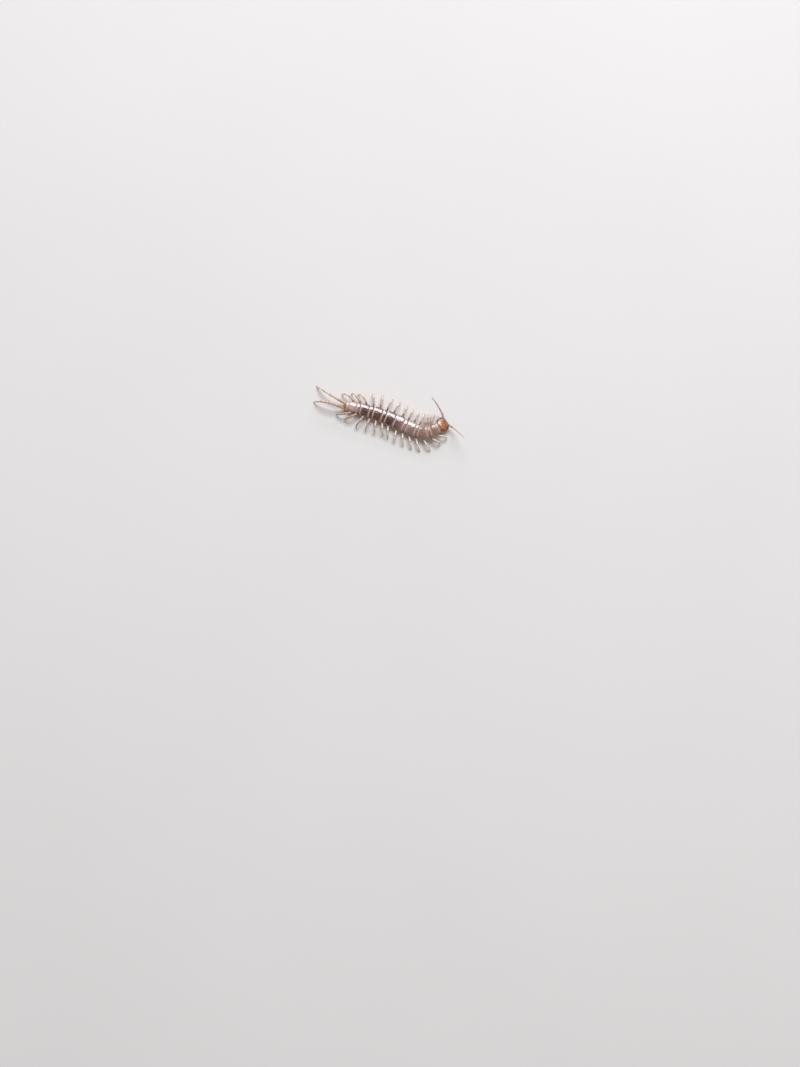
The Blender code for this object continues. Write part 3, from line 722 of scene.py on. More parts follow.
class Spine:
    """The line that the trunk follows, measured backwards from the head's rear edge."""

    def __init__(self) -> None:
        """Works out the line, its length and its direction at many places."""
        self.line = through(np.array(SPINE_POINTS[::-1], float), np.linspace(0, 1, SPINE_SAMPLES))
        self.length = lengths_along(self.line)
        self.ahead = unit(-np.gradient(self.line, axis=0))

    def frame(self, back: Array) -> tuple[Array, Array, Array, Array]:
        """Places of the spine and the axes there.

        Args:
            back: Distances back from the head.

        Returns:
            The point, forward, left and up at each distance.
        """
        inside = np.clip(back, 0, self.length[-1])
        ahead = unit(read_rows(inside, self.length, self.ahead))
        point = read_rows(inside, self.length, self.line) - ahead * (back - inside)[..., None]
        left = unit(np.cross(UP, ahead))
        return point, ahead, left, np.cross(ahead, left)

    def place(self, back: Array, aside: Array, above: Array) -> Array:
        """World points beside the spine.

        Args:
            back: Distances back from the head.
            aside: Distances to the left of the spine.
            above: Distances over it. The three stretch to one shape.

        Returns:
            The points, of that shape by three.
        """
        back, aside, above = np.broadcast_arrays(back, aside, above)
        point, _, left, up = self.frame(back)
        return point + left * aside[..., None] + up * above[..., None]


SPINE = Spine()


@dataclass(frozen=True)
class Segment:
    """The sizes and place of one trunk segment."""

    number: int
    front: float
    length: float

    @property
    def rear(self) -> float:
        """Distance back of its rear edge."""
        return self.front + self.length

    @property
    def long(self) -> bool:
        """Whether its back plate is one of the long ones."""
        return self.length >= SHORT_TERGITE

    @property
    def full_width(self) -> float:
        """Width of the trunk here, before a short plate's share."""
        return float(np.interp(self.number, WIDTH_STATIONS, WIDTHS))

    @property
    def tall(self) -> float:
        """Its height as a share of the tallest one's."""
        return math.sqrt(self.full_width / WIDEST)

    @property
    def half_body(self) -> float:
        """Half width of its flanks."""
        return self.full_width / 2 - BODY_INSET

    @property
    def half_width(self) -> float:
        """Half width of its back plate."""
        return self.full_width / 2 * (1.0 if self.long else SHORT_WIDTH_SHARE)

    @property
    def coxa_radius(self) -> float:
        """Half length of its legs' roots along the body."""
        return COXA_LONG_RADIUS if self.long else COXA_SHORT_RADIUS

    @property
    def corner(self) -> float:
        """How far its rear corners reach back of its rear edge."""
        return POINT_LENGTH if self.number in POINTED_TERGITES else ROUND_CORNER

    @property
    def leg_at(self) -> float:
        """Distance back of its legs."""
        return (self.front + self.rear) / 2

    @property
    def leg_height(self) -> float:
        """Height of its legs' roots over the spine."""
        return (FLANK_TOP + FLANK_FOOT) / 2 * self.tall

    @property
    def node(self) -> str:
        """The name of its solid."""
        return f"trunk_segment_{self.number:02d}"


def trunk_segments() -> list[Segment]:
    """All fifteen segments in a row behind the claw segment."""
    edges = CLAW_SEGMENT_LENGTH + np.r_[0, np.cumsum(TERGITE_LENGTHS)]
    return [Segment(i + 1, float(edges[i]), length) for i, length in enumerate(TERGITE_LENGTHS)]


SEGMENTS = trunk_segments()


def head_axes() -> tuple[Array, Array, Array, Array]:
    """The head's own frame, bent down from the trunk.

    Returns:
        Its origin, forward, left and up.
    """
    point, ahead, left, up = SPINE.frame(0.0)
    pitch = math.radians(HEAD_PITCH)
    forward = ahead * math.cos(pitch) - up * math.sin(pitch)
    return point, forward, left, np.cross(forward, left)


def on_head(forward: Array, aside: Array, above: Array) -> Array:
    """World points of places in the head's own frame.

    Args:
        forward: Distances forward of the head's origin.
        aside: Distances to the left of it.
        above: Distances over it. The three stretch to one shape.

    Returns:
        The points, of that shape by three.
    """
    origin, *axes = head_axes()
    parts = np.broadcast_arrays(forward, aside, above)
    return origin + sum(part[..., None] * axis for part, axis in zip(parts, axes))


def head_outline(bearing: Array, share: Array) -> tuple[Array, Array]:
    """Places on the head's outline, a superellipse.

    Args:
        bearing: Bearings from straight ahead.
        share: How far out to the outline, from 0 to 1.

    Returns:
        The distances forward and to the left.
    """
    half_length = HEAD_LENGTH / 2
    ahead = np.cos(bearing)
    aside = np.sin(bearing)
    reach = np.abs(ahead / half_length) ** HEAD_POWER + np.abs(aside / (HEAD_WIDTH / 2)) ** HEAD_POWER
    reach = reach ** (-1 / HEAD_POWER)
    return half_length - HEAD_LAP + share * reach * ahead, share * reach * aside


@dataclass(frozen=True)
class ShellFinish:
    """Glossy brown shell of the back plates: dark in the middle, with broad rosy rims behind and beside, and
    a painted highlight on the rear plates.
    """

    dark: Colour = (0.042, 0.013, 0.008)
    brown: Colour = (0.125, 0.043, 0.025)
    tan: Colour = (0.38, 0.22, 0.145)
    pink_and_tail_highlight: Colour = (0.72, 0.50, 0.47)
    rosy: Colour = (0.60, 0.41, 0.35)
    rim: Colour = (0.26, 0.11, 0.075)

    def make(self) -> bpy.types.Material:
        """Makes the material, which reads the mesh's edge, across, along, tan and blush.

        Returns:
            The material.
        """
        gloss = {"Coat_Weight": 0.9, "Coat_Roughness": 0.12, "Specular_IOR_Level": 0.9}
        paint = Paint("back_plate_shell", self.dark, 0.25, **gloss)
        edge = paint.read("edge")
        cloud = paint.noise(0.75)
        fine = paint.noise(0.22)
        speck = paint.noise(0.10, 2.0)
        paint.lay(cloud.step(0.38, 0.64), self.brown)
        paint.lay(fine.step(0.52, 0.70) * 0.5, self.brown)
        paint.lay(paint.read("across").step(0.24, 0.04) * (cloud * 0.7 + 0.1), self.dark)
        paint.lay(paint.read("tan") * (cloud * 0.7 + 0.35), self.tan)
        # Pale pink laid by a mask: a pink tone round 7.8 mm back, and a painted highlight on the rear
        # plates.
        paint.lay(paint.read("pink_and_tail_highlight") * 0.7, self.pink_and_tail_highlight)
        paint.lay(paint.read("along").step(0.22, 0.02) * 0.55, self.rosy)
        paint.lay((edge + (cloud - 0.5) * 0.26).step(0.50, 0.16) * 0.92, self.rosy)
        paint.lay(edge.step(0.07, 0.02) * 0.7, self.rim)
        paint.lay(speck.step(0.62, 0.72) * 0.4, self.dark)
        height = paint.cells(0.07).step(0.0, 0.10) * 0.025 + paint.noise(0.17, 2.0) * 0.975
        return paint.done(speck * 0.20 + fine * 0.10 + 0.10, height, 0.0045)


@dataclass(frozen=True)
class HeadFinish:
    """Glossy orange-brown shell of the head, darker and redder chestnut towards the front, with fine dark
    pits.
    """

    orange: Colour = (0.32, 0.102, 0.025)
    amber: Colour = (0.46, 0.185, 0.050)
    chestnut: Colour = (0.095, 0.026, 0.009)

    def make(self) -> bpy.types.Material:
        """Makes the material, which reads the mesh's edge, eye and along, from the rear to the front.

        Returns:
            The material.
        """
        gloss = {"Coat_Weight": 0.8, "Coat_Roughness": 0.10, "Specular_IOR_Level": 0.8}
        paint = Paint("head_shell", self.orange, 0.24, **gloss)
        fine = paint.noise(0.18)
        speck = paint.noise(0.065, 2.0)
        paint.lay(paint.noise(0.60).step(0.38, 0.64), self.amber)
        paint.lay(fine.step(0.50, 0.72) * 0.35, self.chestnut)
        paint.lay(paint.read("along").step(0.42, 0.90) * 0.8, self.chestnut)
        paint.lay(paint.read("edge").step(0.16, 0.02) * 0.7, self.chestnut)
        paint.lay(paint.read("eye") * 0.75, self.chestnut)
        paint.lay(speck.step(0.62, 0.70) * 0.55, self.chestnut)
        height = 1 - speck.step(0.58, 0.74) * 0.6 + paint.noise(0.2, 2.0) * 0.5
        return paint.done(speck * 0.2 + fine * 0.1 + 0.12, height, 0.008)


@dataclass(frozen=True)
class SkinFinish:
    """Soft pinkish skin between the plates, with brown patches where it is stiffened and painted shade in
    the breathing pores.
    """

    pink: Colour = (0.54, 0.33, 0.29)
    mauve: Colour = (0.33, 0.185, 0.185)
    plate: Colour = (0.26, 0.105, 0.05)
    # Near black, for the painted shade inside the breathing pores.
    dark: Colour = (0.05, 0.02, 0.015)

    def make(self) -> bpy.types.Material:
        """Makes the material, which reads the mesh's stiff, fold and hole.

        Returns:
            The material.
        """
        paint = Paint("joint_skin", self.pink, 0.45)
        stiff = paint.read("stiff")
        paint.lay(paint.noise(0.5).step(0.35, 0.65), self.mauve)
        paint.lay(paint.read("fold") * 0.6, self.mauve)
        paint.lay(stiff.step(0.2, 0.7) * 0.85, self.plate)
        # Painted shade: the pores are only shallow dents, darkened in their middles.
        paint.lay(paint.read("hole").step(0.3, 0.7), self.dark)
        height = paint.cells(0.09).step(0.0, 0.35) * 0.3 + paint.noise(0.06, 2.0) * 0.7
        return paint.done(0.55 - stiff * 0.2, height, 0.012)


@dataclass(frozen=True)
class BellyFinish:
    """Amber shell of the belly plates, smoother and paler than the back."""

    amber: Colour = (0.46, 0.235, 0.115)
    brown: Colour = (0.27, 0.11, 0.05)

    def make(self) -> bpy.types.Material:
        """Makes the material, which reads the mesh's edge.

        Returns:
            The material.
        """
        paint = Paint("belly_plate_shell", self.amber, 0.28, Coat_Weight=0.3, Coat_Roughness=0.15)
        speck = paint.noise(0.09, 2.0)
        paint.lay(paint.noise(0.55).step(0.36, 0.66), self.brown)
        paint.lay(paint.read("edge").step(0.12, 0.02) * 0.7, self.brown)
        paint.lay(speck.step(0.62, 0.74) * 0.4, self.brown)
        return paint.done(speck * 0.2 + 0.2, paint.noise(0.12, 2.0), 0.010)


@dataclass(frozen=True)
class LegFinish:
    """Thin, slightly clear leg shell: brown at the root, pale outwards, with dark joint rims, and a warm
    brown that is partly painted shade on the right rear legs.
    """

    name: str
    root: Colour
    pale: Colour
    rim: Colour
    warm: Colour

    def make(self) -> bpy.types.Material:
        """Makes the material, which reads the mesh's along, rim, soft, grade and warmth.

        Returns:
            The material.
        """
        paint = Paint(self.name, self.root, 0.30, Coat_Weight=0.45, Coat_Roughness=0.15)
        along = paint.read("along")
        cloud = paint.noise(0.35)
        speck = paint.noise(0.055, 2.0)
        paint.lay((along + (cloud - 0.5) * 0.25).step(0.05, 0.50), self.pale)
        # Warm brown mask: a warm tone on every leg, and painted shade on the rear legs of the right side.
        paint.lay(paint.read("warmth") * (1.15 - along * 0.6), self.warm)
        paint.lay(paint.read("grade").step(0.45, 1.0) * 0.32, self.root)
        paint.lay(cloud.step(0.48, 0.72) * 0.28, self.root)
        paint.lay(paint.read("rim").step(0.25, 0.8) * 0.7, self.rim)
        paint.lay(paint.read("soft") * 0.55, self.pale)
        paint.lay(speck.step(0.63, 0.72) * 0.4, self.rim)
        return paint.done(speck * 0.2 + 0.18, paint.noise(0.09, 3.0) * 0.6 + speck * 0.4, 0.008)


@dataclass(frozen=True)
class AntennaFinish:
    """Satin pinkish-brown feelers, paler outwards, partly as a painted sheen, with darker joints."""

    brown: Colour = (0.58, 0.36, 0.29)
    pink: Colour = (0.92, 0.80, 0.76)
    dark: Colour = (0.50, 0.30, 0.24)

    def make(self) -> bpy.types.Material:
        """Makes the material, which reads the mesh's along and rim.

        Returns:
            The material.
        """
        paint = Paint("feeler_shell", self.brown, 0.34, Coat_Weight=0.4, Coat_Roughness=0.2)
        speck = paint.noise(0.05, 2.0)
        # Pale pink outwards: partly the feelers' own tone, partly a painted sheen.
        paint.lay(paint.read("along").step(0.0, 0.22), self.pink)
        paint.lay(paint.read("rim") * 0.7, self.dark)
        paint.lay(speck.step(0.58, 0.72) * 0.35, self.dark)
        return paint.done(speck * 0.2 + 0.28, paint.noise(0.04, 2.0), 0.008)


@dataclass(frozen=True)
class ClawFinish:
    """Glossy chestnut shell of claws and spines, almost black at the tips."""

    chestnut: Colour = (0.34, 0.115, 0.035)
    black: Colour = (0.022, 0.010, 0.008)

    def make(self) -> bpy.types.Material:
        """Makes the material, which reads the mesh's tip.

        Returns:
            The material.
        """
        paint = Paint("claw_shell", self.chestnut, 0.2, Coat_Weight=0.6, Coat_Roughness=0.08)
        cloud = paint.noise(0.3)
        paint.lay((paint.read("tip") + (cloud - 0.5) * 0.25).step(0.35, 0.95), self.black)
        return paint.done(cloud * 0.15 + 0.12, paint.noise(0.08, 2.0), 0.006)


@dataclass(frozen=True)
class EyeFinish:
    """Glossy black lenses with a brownish ground between them."""

    ground: Colour = (0.07, 0.028, 0.014)
    black: Colour = (0.008, 0.006, 0.007)

    def make(self) -> bpy.types.Material:
        """Makes the material, which reads the mesh's lens.

        Returns:
            The material.
        """
        paint = Paint("eye_lenses", self.ground, 0.12, Coat_Weight=1.0, Coat_Roughness=0.03)
        lens = paint.read("lens")
        paint.lay(lens, self.black)
        return paint.done(0.32 - lens * 0.24, paint.noise(0.05, 2.0), 0.002)


@dataclass(frozen=True)
class HairFinish:
    """Golden-brown hairs, darker at the root."""

    brown: Colour = (0.42, 0.23, 0.13)
    gold: Colour = (0.72, 0.54, 0.38)

    def make(self) -> bpy.types.Material:
        """Makes the material, which reads the mesh's tip.

        Returns:
            The material.
        """
        paint = Paint("fine_hair", self.brown, 0.4)
        paint.lay(paint.read("tip").step(0.0, 0.6), self.gold)
        return paint.done(paint.noise(0.2) * 0.2 + 0.3)


@dataclass(frozen=True)
class FloorFinish:
    """A plain pale floor with a faint cloudiness."""

    pale: Colour = (0.80, 0.79, 0.77)
    shade: Colour = (0.76, 0.75, 0.73)

    def make(self) -> bpy.types.Material:
        """Makes the material.

        Returns:
            The material.
        """
        paint = Paint("pale_floor", self.pale, 0.8)
        paint.lay(paint.noise(60.0), self.shade)
        return paint.done()


@dataclass(frozen=True)
class Finishes:
    """Every material of the animal, made once."""

    shell: bpy.types.Material
    head: bpy.types.Material
    skin: bpy.types.Material
    belly: bpy.types.Material
    leg: bpy.types.Material
    last_leg: bpy.types.Material
    antenna: bpy.types.Material
    claw: bpy.types.Material
    eye: bpy.types.Material
    hair: bpy.types.Material

    @classmethod
    def made(cls) -> Finishes:
        """Makes them all.

        Returns:
            The finishes.
        """
        cream = LegFinish(
            "leg_shell", root=(0.60, 0.39, 0.26), pale=(0.93, 0.83, 0.71), rim=(0.34, 0.17, 0.10),
            warm=(0.42, 0.21, 0.13),
        )
        tan = LegFinish(
            "last_leg_shell", root=(0.64, 0.38, 0.20), pale=(0.90, 0.79, 0.67), rim=(0.40, 0.20, 0.11),
            warm=(0.66, 0.42, 0.26),
        )
        finishes = (
            ShellFinish(), HeadFinish(), SkinFinish(), BellyFinish(), cream, tan, AntennaFinish(),
            ClawFinish(),
            EyeFinish(), HairFinish(),
        )
        return cls(*(finish.make() for finish in finishes))


@dataclass
class Coat:
    """Stiff single hairs in one mesh, each a thin curved cone with its root sunk in the surface."""

    sides: int = 3
    patch: float = 0.003
    surface: Surface = field(default_factory=Surface)

    def add(
        self, roots: Array, ways: Array, lengths: Array, radius: float, bends: Array, unwrap: Array
    ) -> None:
        """Adds hairs.

        Args:
            roots: Places of the roots.
            ways: Unit directions at the roots.
            lengths: Lengths of the hairs.
            radius: Their radius at the root.
            bends: How the tips are carried away from the first directions, as a share of the length.
            unwrap: Two numbers from 0 to 1 for each root: its place on an unwrap of the skin.
        """
        grids, tip = cones(roots, ways, lengths, radius, HAIR_TAPER, self.sides, bends)
        around = np.arange(self.sides) / self.sides
        along = np.array(HAIR_TAPER)[:, :1]
        u = unwrap[:, 0, None, None] + self.patch * (around - 0.5)
        v = unwrap[:, 1, None, None] + self.patch * (along - 0.5)
        self.surface.add(grids, tip=tip, patch_u=u, patch_v=v)

    def sow(
        self, grid: Array, normal: Array, count: int, seed: int, length: float, crowding: float,
        span: tuple[float, float, float, float],
    ) -> None:
        """Adds short hairs over a grid of points that lean back along its rows.

        A hair's row is drawn evenly. Its column is half a signed root of an even draw, which crowds the
        hairs towards both sides.

        Args:
            grid: Points of the surface.
            normal: Its unit normals.
            count: How many hairs.
            seed: Picks the draws.
            length: Their mean length.
            crowding: The root; 1 spreads them evenly.
            span: Lowest and highest place along and across on the unwrap of the skin.
        """
        draw = np.random.default_rng(seed)
        rows, columns = grid.shape[:2]
        along = draw.uniform(0.10, 0.97, count)
        even = draw.uniform(-1, 1, count)
        across = 0.5 + 0.48 * np.sign(even) * np.abs(even) ** (1 / crowding)
        row = (along * (rows - 2)).astype(int)
        column = (across * (columns - 1)).astype(int)
        back = unit(grid[row + 1, column] - grid[row, column])
        lean = draw.uniform(0.5, 1.0, count)[:, None]
        low_u, high_u, low_v, high_v = span
        place = np.stack([low_u + (high_u - low_u) * along, low_v + (high_v - low_v) * across], 1)
        lengths = length * draw.uniform(0.7, 1.3, count)
        ways = unit(normal[row, column] + back * lean)
        self.add(grid[row, column], ways, lengths, 0.0075, back * 0.2, place)

    def piece(self, name: str, finish: bpy.types.Material, slot: Slot) -> bpy.types.Object:
        """Makes the object, with its OFBake map of one small patch for each hair.

        Args:
            name: The object's name.
            finish: Its material.
            slot: The record's slot that its finish belongs to.

        Returns:
            The object.
        """
        made = self.surface.piece(name, finish, slot)
        mesh = made.data
        corner = np.zeros(len(mesh.loops), np.int32)
        mesh.loops.foreach_get("vertex_index", corner)
        places = np.zeros((len(mesh.vertices), 2), np.float32)
        for axis, key in enumerate(("patch_u", "patch_v")):
            column = np.zeros(len(mesh.vertices), np.float32)
            mesh.attributes[key].data.foreach_get("value", column)
            places[:, axis] = column
            mesh.attributes.remove(mesh.attributes[key])
        mesh.uv_layers.new(name="OFBake").data.foreach_set("uv", places[corner].ravel())
        return made


@dataclass(frozen=True)
class PlateSheet:
    """Turns the middle surface of a plate into a closed shell with rounded edges and a raised rim."""

    thickness: float = 0.085
    rounding: float = 0.05
    bead_height: float = 0.026
    bead_at: float = 0.065
    bead_width: float = 0.034
    groove_depth: float = 0.014
    groove_at: float = 0.15
    groove_width: float = 0.045

    def rim(self, distance: Array) -> Array:
        """Height of the rim at a distance from the edge: a bell for the bead less a bell for its groove."""
        bead = self.bead_height * bell(distance - self.bead_at, self.bead_width)
        return bead - self.groove_depth * bell(distance - self.groove_at, self.groove_width)

    def shell(self, middle: Array, outward: Array, border: Array, relief: Array) -> Array:
        """The closed shell.

        Its half thickness at a distance from the border is that of a round edge: the root of one less the
        square of the share of the rounding that is left, times half the thickness.

        Args:
            middle: Grid of the middle surface.
            outward: Vectors on the outer side.
            border: Distance of each point from the nearest edge.
            relief: Height added to the outer face.

        Returns:
            One grid whose columns run over the outer face and back under it.
        """
        normal = normals_of(middle, outward)
        left = 1 - np.clip(border / self.rounding, 0, 1)
        half = self.thickness / 2 * np.sqrt(np.maximum(1 - left**2, 0))
        raised = relief * smooth(border / (self.rounding * 0.7))
        top = middle + normal * (half + raised)[..., None]
        under = middle - normal * half[..., None]
        return np.concatenate([top, under[:, ::-1]], axis=1)


def both_faces(values: Array) -> Array:
    """Values of a plate's grid, for the outer face and back under it."""
    return np.concatenate([values, values[:, ::-1]], axis=1)


def arched(
    back: Array, turned: Array, aside: Array, low: Array, heights: tuple[float, float]
) -> tuple[Array, Array]:
    """The middle surface of a back plate.

    Its height over the spine is an arch: it runs from the margin to the crown with the cosine of a quarter
    turn to a power.

    Args:
        back: Distances back from the head.
        turned: Share of the quarter turn, 1 at the side edge.
        aside: Distances to the left of the spine.
        low: Heights added at the crown.
        heights: Heights of the margin and the crown.

    Returns:
        The points, and vectors on their outer side.
    """
    margin, crown = heights
    cosine = np.cos(turned * math.pi / 2)
    power = np.sign(cosine) * np.abs(cosine) ** ARC_POWER
    above = margin + (crown - margin) * power + low * np.clip(cosine, 0, 1)
    middle = SPINE.place(back, aside, above - 0.02)
    return middle, middle - SPINE.place(back, 0.0, -0.3)


@dataclass(frozen=True)
class BackPlate:
    """One back plate: an arch that dips in front under the plate before it and laps over the next one."""

    segment: Segment
    before_corner: float
    rows: int = 40
    columns: int = 73
    curl: float = 1.06
    dip: float = 0.17
    dip_length: float = 0.45
    arch: float = 0.02

    def lap(self, turned: Array) -> Array:
        """How far the rear edge reaches back of the segment's end.

        Args:
            turned: Share of the way to the side edge.

        Returns:
            The distance.
        """
        along = np.clip((np.abs(turned) - CORNER_START) / (1 - CORNER_START), 0, 1)
        share = LAST_LAP_SHARE if self.segment.number == len(SEGMENTS) else 1.0
        return (LAP + self.segment.corner * along**CORNER_POWER) * share

    def surface(self) -> Surface:
        """The plate.

        Aside is the half width times the sine of a quarter turn. Along, the half width eases in at the front
        and out at the rear, and the front dips by a soft step. The relief adds wrinkles, two furrows and a
        middle line.

        Returns:
            The surface.
        """
        segment = self.segment
        share, turned = plate_shares(self.rows, self.columns, self.curl)
        out = np.abs(turned)
        sine = np.sin(turned * math.pi / 2)
        start = segment.front + 0.02 + 0.16 * out**5
        end = segment.rear + self.lap(np.minimum(out, 1))
        back = start + (end - start) * share
        narrowed = 0.07 * (1 - np.clip(share / 0.35, 0, 1)) ** 2
        narrowed += 0.035 * np.clip((share - 0.75) / 0.25, 0, 1) ** 2
        wide = segment.half_width * (1 - narrowed)
        ahead = back - start
        reach = self.dip_length + np.maximum(self.before_corner, 0) * smooth((out - 0.5) / 0.5)
        low = -self.dip * (1 - smooth(ahead / reach)) + self.arch * np.sin(math.pi * share)
        low += 0.05 * smooth((share - 0.8) / 0.2) * out**4 * (segment.corner > 0)
        aside = (wide + low * np.abs(sine) * 0.8) * sine
        heights = (MARGIN * segment.tall, CROWN * segment.tall)
        middle, outward = arched(back, turned, aside, low, heights)
        rear = end - back
        edge = np.minimum((1 - out / self.curl) * math.pi / 2 * wide * 0.85, rear)
        flat = np.stack([back, aside], -1)
        sheet = PlateSheet()
        relief = sheet.rim(edge)
        relief += 0.010 * ripple(flat * (0.6, 1.6), 0.9, 11 + segment.number, 2)
        relief += 0.003 * ripple(flat * (0.5, 1.5), 0.30, 40 + segment.number, 2)
        relief -= 0.014 * bell(out - 0.30, 0.05) * smooth(rear / 0.5) * smooth(ahead / 0.6)
        relief -= 0.010 * bell(turned, 0.035) * smooth((ahead - 0.3) / 0.3) * smooth(rear / 0.4)
        return Surface().add(
            sheet.shell(middle, outward, np.minimum(edge, ahead), relief),
            edge=both_faces(edge),
            across=both_faces(out),
            along=share,
            tan=both_faces(smooth((7.5 - back) / 4)),
            # Pale pink mask: a bell for the pink tone about 7.8 mm back, and a painted highlight from 19 mm
            # back to the tail.
            pink_and_tail_highlight=both_faces(smooth((back - 19) / 3) + 0.48 * bell(back - 7.8, 2.4)),
        )

    def hairs(self, made: Surface, coat: Coat) -> None:
        """Adds the fine hairs at the plate's sides.

        Args:
            made: The plate's surface.
            coat: The hairs to add to.
        """
        outer = made.points[0].reshape(self.rows, -1, 3)[:, : self.columns]
        normal = normals_of(outer, outer - outer.mean((0, 1)) + UP * 1.5)
        number = self.segment.number
        span = ((number - 1) / len(SEGMENTS), number / len(SEGMENTS), 0.02, 0.48)
        coat.sow(outer, normal, 70 if self.segment.long else 44, 500 + number, 0.13, 3.0, span)


@dataclass(frozen=True)
class NeckPlate:
    """The short back plate of the claw segment, between the head and the first long plate."""

    rows: int = 22
    columns: int = 61
    curl: float = 1.04

    def surface(self) -> Surface:
        """The plate: the same arch as a back plate's, on the claw segment's width.

        Returns:
            The surface.
        """
        share, turned = plate_shares(self.rows, self.columns, self.curl)
        out = np.abs(turned)
        start = -0.10 + 0.14 * out**5
        end = CLAW_SEGMENT_LENGTH + LAP - 0.02 - 0.10 * out**6
        back = start + (end - start) * share
        tall = SEGMENTS[0].tall
        wide = CLAW_SEGMENT_WIDTH / 2 * (1 - 0.03 * (1 - share))
        low = -0.12 * (1 - smooth((back - start) / 0.35))
        aside = (wide + low * 0.6) * np.sin(turned * math.pi / 2)
        middle, outward = arched(back, turned, aside, low, (MARGIN * tall, CROWN * tall - 0.03))
        edge = np.minimum((1 - out / self.curl) * math.pi / 2 * wide * 0.85, end - back)
        sheet = PlateSheet()
        grid = sheet.shell(middle, outward, np.minimum(edge, back - start), sheet.rim(edge))
        edge, out = both_faces(edge), both_faces(out)
        return Surface().add(grid, edge=edge, across=out, along=share, tan=1.0, pink_and_tail_highlight=0.0)


@dataclass(frozen=True)
class BellyPlate:
    """One belly plate: a slightly domed rounded trapezoid, narrower behind, with a shallow middle furrow."""

    segment: Segment
    rows: int = 30
    columns: int = 33
    taper: float = 0.20
    roundness: float = 5.0

    def grid(self) -> tuple[Array, Array]:
        """The closed shell.

        The half width falls evenly to the rear, times a superellipse of the share along, which rounds the
        corners. The plate's middle lies lowest.

        Returns:
            Its points and their distances from the edge.
        """
        segment = self.segment
        share, across = plate_shares(self.rows, self.columns)
        rounded = (1 - np.abs(2 * share - 1) ** self.roundness) ** (1 / self.roundness)
        half = (segment.half_body - STERNITE_INSET + 0.03) * (1 - self.taper * share)
        back = segment.front + 0.03 + (segment.length - 0.06) * share
        aside = half * rounded * across
        above = (BELLY + (STERNITE_EDGE - BELLY) * across**2) * segment.tall + 0.03
        middle = SPINE.place(back, aside, above)
        outward = SPINE.place(back, aside, above - 1.0) - middle
        ends = np.minimum(share, 1 - share) * segment.length
        edge = np.minimum(ends, half * rounded * (1 - np.abs(across)))
        sheet = PlateSheet(thickness=0.07, bead_height=0.010, groove_depth=0.006)
        flat = np.stack(np.broadcast_arrays(back, aside), -1)
        relief = sheet.rim(edge) + 0.008 * ripple(flat, 0.7, 70 + segment.number)
        relief -= 0.016 * bell(aside, 0.06) * smooth(ends / 0.3)
        return sheet.shell(middle, outward, edge, relief), both_faces(edge)


